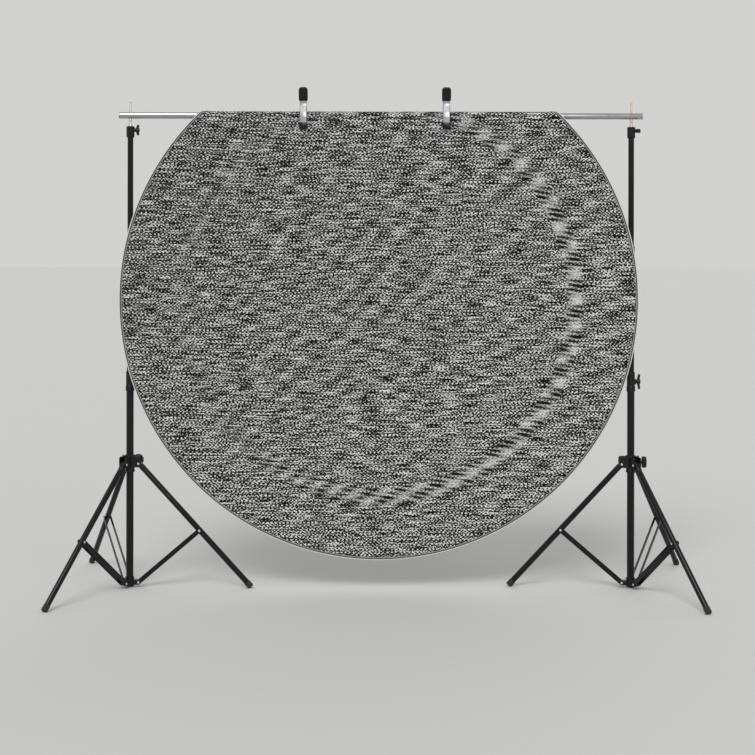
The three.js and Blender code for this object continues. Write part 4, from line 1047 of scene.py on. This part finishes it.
class BuildColumns(Build):
    """Makes the column tubes, lock collars, spigot sockets and spigots of both stands"""
    bl_idname = "backdrop.build_columns"
    bl_label = "Columns"

    def execute(self, context):
        sizes = context.scene.backdrop_columns
        middle_foot, upper_foot = sizes.middle_top - sizes.middle_length, sizes.upper_top - sizes.upper_length
        for side in SIDES:
            here, places = stand_matrix(side), knob_places(side)
            tubes = (("lower", sizes.lower_radius, sizes.lower_foot, sizes.lower_top, "column"),
                     ("middle", sizes.middle_radius, middle_foot, sizes.middle_top, "mid"),
                     ("upper", sizes.upper_radius, upper_foot, sizes.upper_top, "top"))
            for name, radius, low, high, body in tubes:
                tube = moved(pipe(radius, radius - sizes.wall, low, high, sides=56), here)
                fitted(as_object(f"{side}_{name}_section", tube), f"{side}_{body}", "black_tube", "black_coat",
                       f"{side}_{name}_tube")
            collars = (
                ("lower", sizes.lower_radius, sizes.middle_radius, sizes.lower_top, sizes.lower_neck, "column"),
                ("middle", sizes.middle_radius, sizes.upper_radius, sizes.middle_top, sizes.middle_neck, "mid"))
            for name, outer, inner, top, neck, body in collars:
                shells = self.lock_collar(sizes, outer, inner, top, neck, places[name])
                fitted(moulded(f"{side}_{name}_lock", shells, here, 0.0009), f"{side}_{body}", "black_plastic",
                       "moulded_plastic", f"{side}_{name}_lock_collar")
            fitted(moulded(f"{side}_socket", self.socket(sizes, places["upper"]), here, 0.0009), f"{side}_top",
                   "black_plastic", "moulded_plastic", f"{side}_spigot_socket")
            fitted(as_object(f"{side}_turned_spigot", moved(self.spigot(sizes), here)), f"{side}_top", "brass",
                   "turned_brass", f"{side}_spigot")
        return {"FINISHED"}

    @staticmethod
    def lock_collar(sizes, outer, inner, top, neck, place):
        """A stepped sleeve, two raised bands, a flat plinth under the knob's boss, and the boss."""
        bore, grip = inner + sizes.fit, outer + sizes.fit
        skirt, sleeve = grip + sizes.lock_wall, bore + sizes.lock_wall
        body = revolved([
            (grip, top - sizes.lock_skirt), (skirt, top - sizes.lock_skirt), (skirt, top + sizes.lock_wall),
            (sleeve, top + 2 * sizes.lock_wall), (sleeve, top + neck), (bore, top + neck), (bore, top + sizes.fit),
            (grip, top + sizes.fit)], ring=True)
        bands = [pipe(radius, radius - 0.0015, low, low + 0.0035) for radius, low in (
            (skirt + 0.0004, top - sizes.lock_skirt + 0.001), (sleeve + 0.0005, top + neck - 0.0045))]
        height, around, _, _ = place
        wide, tall, corner, deep = 0.0085, 0.011, 0.003, 0.006
        facing = moved(slab(rounded_box_outline(-wide, wide, -tall, tall, corner), deep),
                       Matrix.Rotation(math.pi / 2, 4, "Z"))
        plinth = moved(shifted(facing, x=sleeve + 0.0006),
                       Matrix.Translation((0, 0, height)) @ Matrix.Rotation(around, 4, "Z"))
        return body, *bands, plinth, boss(sleeve - 0.001, place)

    @staticmethod
    def socket(sizes, place):
        """A sleeve over the top tube that narrows to the spigot, a raised band and the knob's boss."""
        bore, spigot = sizes.upper_radius + sizes.fit, sizes.spigot_radius + sizes.fit
        outer, step = bore + sizes.socket_wall, sizes.upper_top + sizes.fit
        body = revolved([
            (bore, sizes.socket_foot), (outer - sizes.socket_wall / 2, sizes.socket_foot),
            (outer, sizes.socket_foot + sizes.socket_wall), (outer, sizes.socket_top), (spigot, sizes.socket_top),
            (spigot, step), (bore, step)], ring=True)
        band = pipe(outer + 0.0005, outer - 0.001, sizes.socket_top - 0.006, sizes.socket_top - 0.002)
        return body, band, boss(spigot + sizes.socket_wall / 2, place)

    @staticmethod
    def spigot(sizes):
        """A turned spigot: its ring, a waist below the shoulder, and the stud that passes up through the bar."""
        bar = bpy.context.scene.backdrop_bar
        foot, ring = sizes.upper_top + 2 * sizes.fit, sizes.socket_top + sizes.fit
        shoulder = bar.height - bar.radius - sizes.fit
        body, stud, waist = sizes.spigot_radius, sizes.stud_radius, (ring + 0.004 + shoulder) / 2
        return revolved(rounded([
            (0, foot, 0), (body, foot, 0.0006), (body, ring, 0), (sizes.flange_radius, ring, 0.0006),
            (sizes.flange_radius, ring + 0.004, 0.0006), (body, ring + 0.004, 0.0004), (body, waist - 0.002, 0.0004),
            (body - 0.0012, waist - 0.001, 0.0004), (body - 0.0012, waist + 0.001, 0.0004),
            (body, waist + 0.002, 0.0004), (body, shoulder, 0.0007), (stud, shoulder, 0.0004),
            (stud, sizes.stud_top - 0.002, 0.0005), (stud - 0.001, sizes.stud_top, 0.0003),
            (0, sizes.stud_top, 0)]), 48)


class BuildTripods(Build):
    """Makes the leg collars, foot hubs, legs, rubber feet and braces of both stands"""
    bl_idname = "backdrop.build_tripods"
    bl_label = "Tripods"

    def execute(self, context):
        sizes, columns = context.scene.backdrop_tripods, context.scene.backdrop_columns
        run, lean = brace_run()
        for side in SIDES:
            here, places = stand_matrix(side), knob_places(side)
            fitted(moulded(f"{side}_leg_casting", self.collar(sizes, columns, places["leg"]), here, 0.0011),
                   f"{side}_leg_carrier", "black_plastic", "moulded_plastic", f"{side}_leg_collar")
            fitted(moulded(f"{side}_hub_casting", self.hub(sizes, columns), here, 0.0011), f"{side}_column",
                   "black_plastic", "moulded_plastic", f"{side}_foot_hub")
            for number in LEG_NUMBERS:
                name = f"{side}_{number}"
                leg_body, brace_body = f"{side}_leg_{number}_body", f"{side}_brace_{number}_body"
                down = leg_matrix(side, number, sizes.pivot_height, -leg_lean())
                fitted(as_object(f"leg_tube_{name}", moved(self.leg_tube(sizes), down)), leg_body, "black_tube",
                       "black_coat", f"{side}_leg_{number}")
                fitted(moulded(f"leg_end_{name}", self.leg_end(sizes), down, 0.0009), leg_body, "black_plastic",
                       "moulded_plastic")
                reach = sizes.leg_radius + 0.0009 + sizes.cheek_thickness
                fitted(as_object(f"leg_rivet_{name}", moved(self.rivet(sizes, reach), down)), leg_body,
                       "spring_steel", "rivet_steel")
                boot = moved(self.boot(sizes), down)
                boot[0][:, 2] = np.maximum(boot[0][:, 2], 0.0)
                fitted(as_object(f"rubber_foot_{name}", boot), leg_body, "rubber", "black_rubber",
                       f"{side}_foot_{number}")
                up = leg_matrix(side, number, sizes.hub_pivot, lean)
                inner = sizes.lug_width / 2 + CLEARANCE
                across = np.linspace(0, np.pi, 17)
                cap = np.stack([np.cos(across), np.sin(across)], axis=1) * sizes.strip_half_width
                strip = slab(np.concatenate([cap + (0, run), -cap]), sizes.strip_thickness)
                middle = inner + sizes.strip_thickness / 2
                strips = joined(*(shifted(strip, y=sign * middle) for sign in (-1, 1)))
                fitted(as_object(f"brace_strips_{name}", moved(strips, up)), brace_body, "black_tube", "black_coat",
                       f"{side}_brace_{number}")
                outside = inner + sizes.strip_thickness
                heads = [shifted(self.head(sizes, outside - DOME_SEAT, sign), z=run) for sign in (-1, 1)]
                rivets = joined(self.rivet(sizes, outside), *heads)
                fitted(as_object(f"brace_rivets_{name}", moved(rivets, up)), brace_body, "spring_steel",
                       "rivet_steel")
        return {"FINISHED"}

    @staticmethod
    def collar(sizes, columns, place):
        """A sleeve with three pairs of cheeks, a lip at both ends and the knob's boss."""
        bore = columns.lower_radius + columns.fit
        outer = bore + sizes.collar_wall
        sleeve = pipe(outer, bore, sizes.collar_foot, sizes.collar_top, 0.0012)
        lips = [pipe(outer + 0.001, bore, low, low + 0.005) for low in (sizes.collar_foot, sizes.collar_top - 0.005)]
        cheek = slab(rounded_box_outline(bore - 0.004, sizes.cheek_reach, sizes.cheek_foot, sizes.cheek_top,
                                         sizes.cheek_corner), sizes.cheek_thickness, 0.0008)
        apart = sizes.leg_radius + 0.0006 + sizes.cheek_thickness / 2
        cheeks = [moved(shifted(cheek, y=sign * apart), around_column(number))
                  for number in LEG_NUMBERS for sign in (-1, 1)]
        return sleeve, *lips, *cheeks, boss(bore + 0.001, place)

    @staticmethod
    def hub(sizes, columns):
        """A cup under the column with three solid lugs that end in half rounds."""
        bore = columns.lower_radius + columns.fit
        outer = bore + sizes.hub_wall
        cup = revolved([(0, sizes.hub_foot), (outer, sizes.hub_foot), (outer, sizes.hub_top), (bore, sizes.hub_top),
                        (bore, columns.lower_foot - columns.fit), (0, columns.lower_foot - columns.fit)])
        angle = np.linspace(-np.pi / 2, np.pi / 2, 15)
        end = np.stack([sizes.pivot_radius + (sizes.lug_reach - sizes.pivot_radius) * np.cos(angle),
                        sizes.hub_pivot + sizes.lug_radius * np.sin(angle)], axis=1)
        back = bore + 0.0005
        outline = np.concatenate([end, [(back, sizes.hub_pivot + sizes.lug_radius),
                                        (back, sizes.hub_pivot - sizes.lug_radius)]])
        lug = slab(outline, sizes.lug_width, 0.001)
        lip = pipe(outer + 0.001, bore, sizes.hub_top - 0.004, sizes.hub_top)
        return cup, lip, *(moved(lug, around_column(number)) for number in LEG_NUMBERS)

    @staticmethod
    def leg_tube(sizes):
        """A tube closed by a plug below its start, with its pivot at the origin and its far end inside the boot."""
        bore, plug = sizes.leg_radius - sizes.leg_wall, -0.03
        start, end = -sizes.setback, sizes.boot_sole + CLEARANCE - sizes.boot_end
        return revolved(rounded([
            (0, start, 0), (sizes.leg_radius, start, 0.001), (sizes.leg_radius, end, 0.0004), (bore, end, 0.0004),
            (bore, plug, 0), (0, plug, 0)]))

    @staticmethod
    def leg_end(sizes):
        """The plug in a leg's top: a round tongue between the cheeks, a neck, and a collar over the tube's mouth."""
        half = sizes.tongue_width / 2
        tongue = moved(rod(sizes.leg_radius, -half, half, 0.001), ALONG_Y)
        neck = slab(rounded_box_outline(-0.8 * sizes.leg_radius, 0.8 * sizes.leg_radius, -0.02, 0.004, 0.002),
                    sizes.tongue_width, 0.001)
        sleeve = rod(sizes.leg_radius + 0.0004, -0.029, -0.0135, 0.001)
        return tongue, neck, sleeve

    @staticmethod
    def head(sizes, start, sign):
        """A domed rivet head on the Y axis: radius r cos a, height h sin a."""
        dome = np.linspace(0, np.pi / 2, 7)
        cap = np.stack([sizes.rivet_head * np.cos(dome), start + DOME_SEAT + sizes.rivet_rise * np.sin(dome)], axis=1)
        profile = np.concatenate([[(0, start), (sizes.rivet_head, start)], cap])
        shell = moved(revolved(profile, 28), ALONG_Y)
        return shell if sign > 0 else moved(shell, Matrix.Rotation(math.pi, 4, "Z"))

    @classmethod
    def rivet(cls, sizes, reach):
        """A shank across the piece with a domed head at both ends."""
        shank = moved(rod(0.003, -reach, reach, sides=20), ALONG_Y)
        return joined(shank, *(cls.head(sizes, reach - DOME_SEAT, sign) for sign in (-1, 1)))

    @staticmethod
    def boot(sizes):
        """A rubber cup over the leg's end with three grooves round it: r = R - depth exp(-(d / width)^2) at each
        distance d from a groove's middle."""
        inner = sizes.leg_radius + CLEARANCE
        outer = inner + sizes.boot_wall
        end, top = -sizes.boot_end, sizes.boot_length - sizes.boot_end
        run = np.linspace(end + 0.004, top - 0.0015, 60)
        width, depth = 0.0009, 0.0004
        groove = sum(np.exp(-((run - (top - drop)) / width) ** 2) for drop in (0.006, 0.0105, 0.015))
        wall = np.stack([outer - depth * groove, run], axis=1)
        bend, corner = np.linspace(0, np.pi / 2, 7), 0.003
        sole = np.stack([outer - corner * (1 - np.sin(bend)), end + corner * (1 - np.cos(bend))], axis=1)
        return revolved(np.concatenate([
            [(0, end)], sole, wall, [(outer - 0.0005, top), (inner, top), (inner, end + sizes.boot_sole),
            (0, end + sizes.boot_sole)]]))


class BuildKnobs(Build):
    """Makes the winged knobs and the ribbed knobs with their screws"""
    bl_idname = "backdrop.build_knobs"
    bl_label = "Knobs"

    def execute(self, context):
        knobs, columns = context.scene.backdrop_knobs, context.scene.backdrop_columns
        pieces = {"leg": ("leg_collar_knob", None), "lower": ("lower_lock_knob", knobs.large_span),
                  "middle": ("middle_lock_knob", knobs.small_span), "upper": ("spigot_knob", knobs.small_span)}
        for side in SIDES:
            for key, place in knob_places(side).items():
                node, span = pieces[key]
                height, around, bears_on, end = place
                matrix = (stand_matrix(side) @ Matrix.Translation((0, 0, height)) @ Matrix.Rotation(around, 4, "Z")
                          @ Matrix.Rotation(math.radians(KNOB_SCREWED.get((side, key), 0)), 4, "X"))
                start, body = end + columns.fit, f"{side}_{node}_body"
                if span is None:
                    knob = as_object(f"{side}_{key}_grip_knob", moved(self.ribbed(knobs, start), matrix), 40.0)
                else:
                    knob = moulded(f"{side}_{key}_grip_knob", self.winged(knobs, start, span), matrix, 0.0008, 3)
                fitted(knob, body, "black_plastic", "moulded_plastic", f"{side}_{node}")
                screw = moved(rod(knobs.screw_radius, bears_on + columns.fit, start + 0.002, 0.0004), ALONG_X)
                fitted(as_object(f"{side}_{key}_screw", moved(screw, matrix)), body, "spring_steel", "rivet_steel")
        return {"FINISHED"}

    @staticmethod
    def winged(knobs, start, span):
        """A hub along X and two upright wings. A wing's outline leaves the hub, swells and ends in a half round."""
        end = start + knobs.hub_length
        hub = moved(rod(knobs.hub_radius, start, end, 0.0015), ALONG_X)
        button = moved(rod(knobs.hub_radius * 0.55, end - 0.001, end + 0.0006, 0.0008), ALONG_X)
        tip = span / 2
        upper = rounded([
            (start + 0.0015, 0, 0), (start + 0.0012, knobs.hub_radius, 0.003), (start + 0.0075, tip, 0.004),
            (end, tip * 0.86, 0.004), (end - 0.003, knobs.hub_radius * 0.6, 0.003), (end - 0.003, 0, 0)], 5)
        wings = slab(np.concatenate([upper, upper[::-1] * (1, -1)]), knobs.wing_thickness, 0.0012)
        return hub, button, wings

    @staticmethod
    def ribbed(knobs, start):
        """A shank and a disc as rings (x, radius, share of the ribs): r = R - share d ((1 + cos n a) / 2)^2."""
        back = start + knobs.disc_standoff
        shank, disc = knobs.shank_radius, knobs.disc_radius
        front = back + knobs.disc_thickness
        rings = np.array([
            (start, shank, 0), (back - 0.001, shank, 0), (back, shank + 0.002, 0), (back, disc * 0.9, 1),
            (back + 0.0015, disc, 1), (front - 0.0022, disc, 1), (front, disc * 0.9, 1), (front, disc * 0.62, 0),
            (front - 0.0012, disc * 0.56, 0)])
        angle = np.linspace(0, 2 * np.pi, knobs.ribs * 10, endpoint=False)
        rib = knobs.rib_depth * (0.5 + 0.5 * np.cos(knobs.ribs * angle)) ** 2
        r = rings[:, 1:2] - rib * rings[:, 2:3]
        x = np.broadcast_to(rings[:, :1], r.shape)
        return grid_shell(np.stack([x, r * np.cos(angle), r * np.sin(angle)], axis=-1), wrap_columns=True, caps=True)


class BuildStage(Build):
    """Lays the floor, hangs the lights and sets the camera"""
    bl_idname = "backdrop.build_stage"
    bl_label = "Stage"

    def execute(self, context):
        stage = context.scene.backdrop_stage
        half = stage.floor_size / 2
        corners = np.array([(-half, -half, 0), (half, -half, 0), (half, half, 0), (-half, half, 0)], float)
        floor = as_object("floor", (corners, [[0, 1, 2, 3]]))
        floor.data.materials.append(finish("studio_floor"))
        self.daylight(context, stage)
        for name, place, width, share in LAMPS:
            self.lamp(name, place, width, stage.key * share)
        camera = bpy.data.objects.new("camera", bpy.data.cameras.new("camera"))
        context.scene.collection.objects.link(camera)
        camera.data.lens, camera.data.sensor_width, camera.data.shift_y = stage.lens, 36.0, stage.shift
        camera.data.clip_end = 200.0
        level = Matrix.Rotation(math.pi / 2, 4, "X")
        camera.matrix_world = (Matrix.Translation(stage.eye) @ Matrix.Rotation(stage.heading, 4, "Z") @ level
                               @ Matrix.Rotation(stage.roll, 4, "Z"))
        context.scene.camera = camera
        context.scene.view_settings.view_transform = "Standard"
        return {"FINISHED"}

    @staticmethod
    def daylight(context, stage):
        """Even light from all round. What the eye, and glossy or clear things, see of it is the pale backdrop."""
        world = bpy.data.worlds.new("studio")
        world.use_nodes = True
        g = Graph(world.node_tree)
        g.tree.nodes.clear()
        light = g.node("ShaderNodeBackground", None, {"Color": (1.0, 1.0, 1.0), "Strength": stage.ambient})
        seen = g.node("ShaderNodeBackground", None, {"Color": shade(stage.floor_colour, stage.backdrop_share)})
        path = g.node("ShaderNodeLightPath")
        looked_at = Value(g, path.outputs["Is Camera Ray"])
        for ray in ("Is Glossy Ray", "Is Transmission Ray"):
            looked_at = looked_at.math("MAXIMUM", path.outputs[ray])
        mix = g.node("ShaderNodeMixShader", None, {"Fac": looked_at, 1: light.outputs[0], 2: seen.outputs[0]})
        g.node("ShaderNodeOutputWorld", None, {"Surface": mix.outputs[0]})
        context.scene.world = world

    @staticmethod
    def lamp(name, place, width, strength):
        """A far lamp that looks width degrees wide and shines from place towards the origin."""
        data = bpy.data.lights.new(name, "SUN")
        data.angle, data.energy = math.radians(width), strength
        lamp = bpy.data.objects.new(name, data)
        lamp.location = place
        lamp.rotation_euler = Vector(place).to_track_quat("Z", "Y").to_euler()
        bpy.context.scene.collection.objects.link(lamp)


# ---------------------------------------------------------------- panel and start

OPERATORS = (BuildStage, BuildCloth, BuildBinding, BuildBar, BuildClamps, BuildColumns, BuildTripods, BuildKnobs)


class BackdropSidebar(bpy.types.Panel):
    """Lists the sizes and the operators that build each group of pieces"""
    bl_idname = "VIEW3D_PT_backdrop"
    bl_label = "Backdrop Panel Set"
    bl_space_type = "VIEW_3D"
    bl_region_type = "UI"
    bl_category = "Backdrop"

    def draw(self, context):
        for operator in OPERATORS:
            self.layout.operator(operator.bl_idname)
        for key, group in GROUPS.items():
            box = self.layout.box()
            box.label(text=group.__doc__)
            for name in group.__annotations__:
                box.prop(getattr(context.scene, key), name)


def register():
    for kind in (*GROUPS.values(), *OPERATORS, BackdropSidebar):
        bpy.utils.register_class(kind)
    for key, group in GROUPS.items():
        setattr(bpy.types.Scene, key, PointerProperty(type=group))


def unregister():
    for key in GROUPS:
        delattr(bpy.types.Scene, key)
    for kind in reversed((*GROUPS.values(), *OPERATORS, BackdropSidebar)):
        bpy.utils.unregister_class(kind)


def main():
    register()
    for operator in OPERATORS:
        family, name = operator.bl_idname.split(".")
        getattr(getattr(bpy.ops, family), name)()


if __name__ == "__main__":
    main()
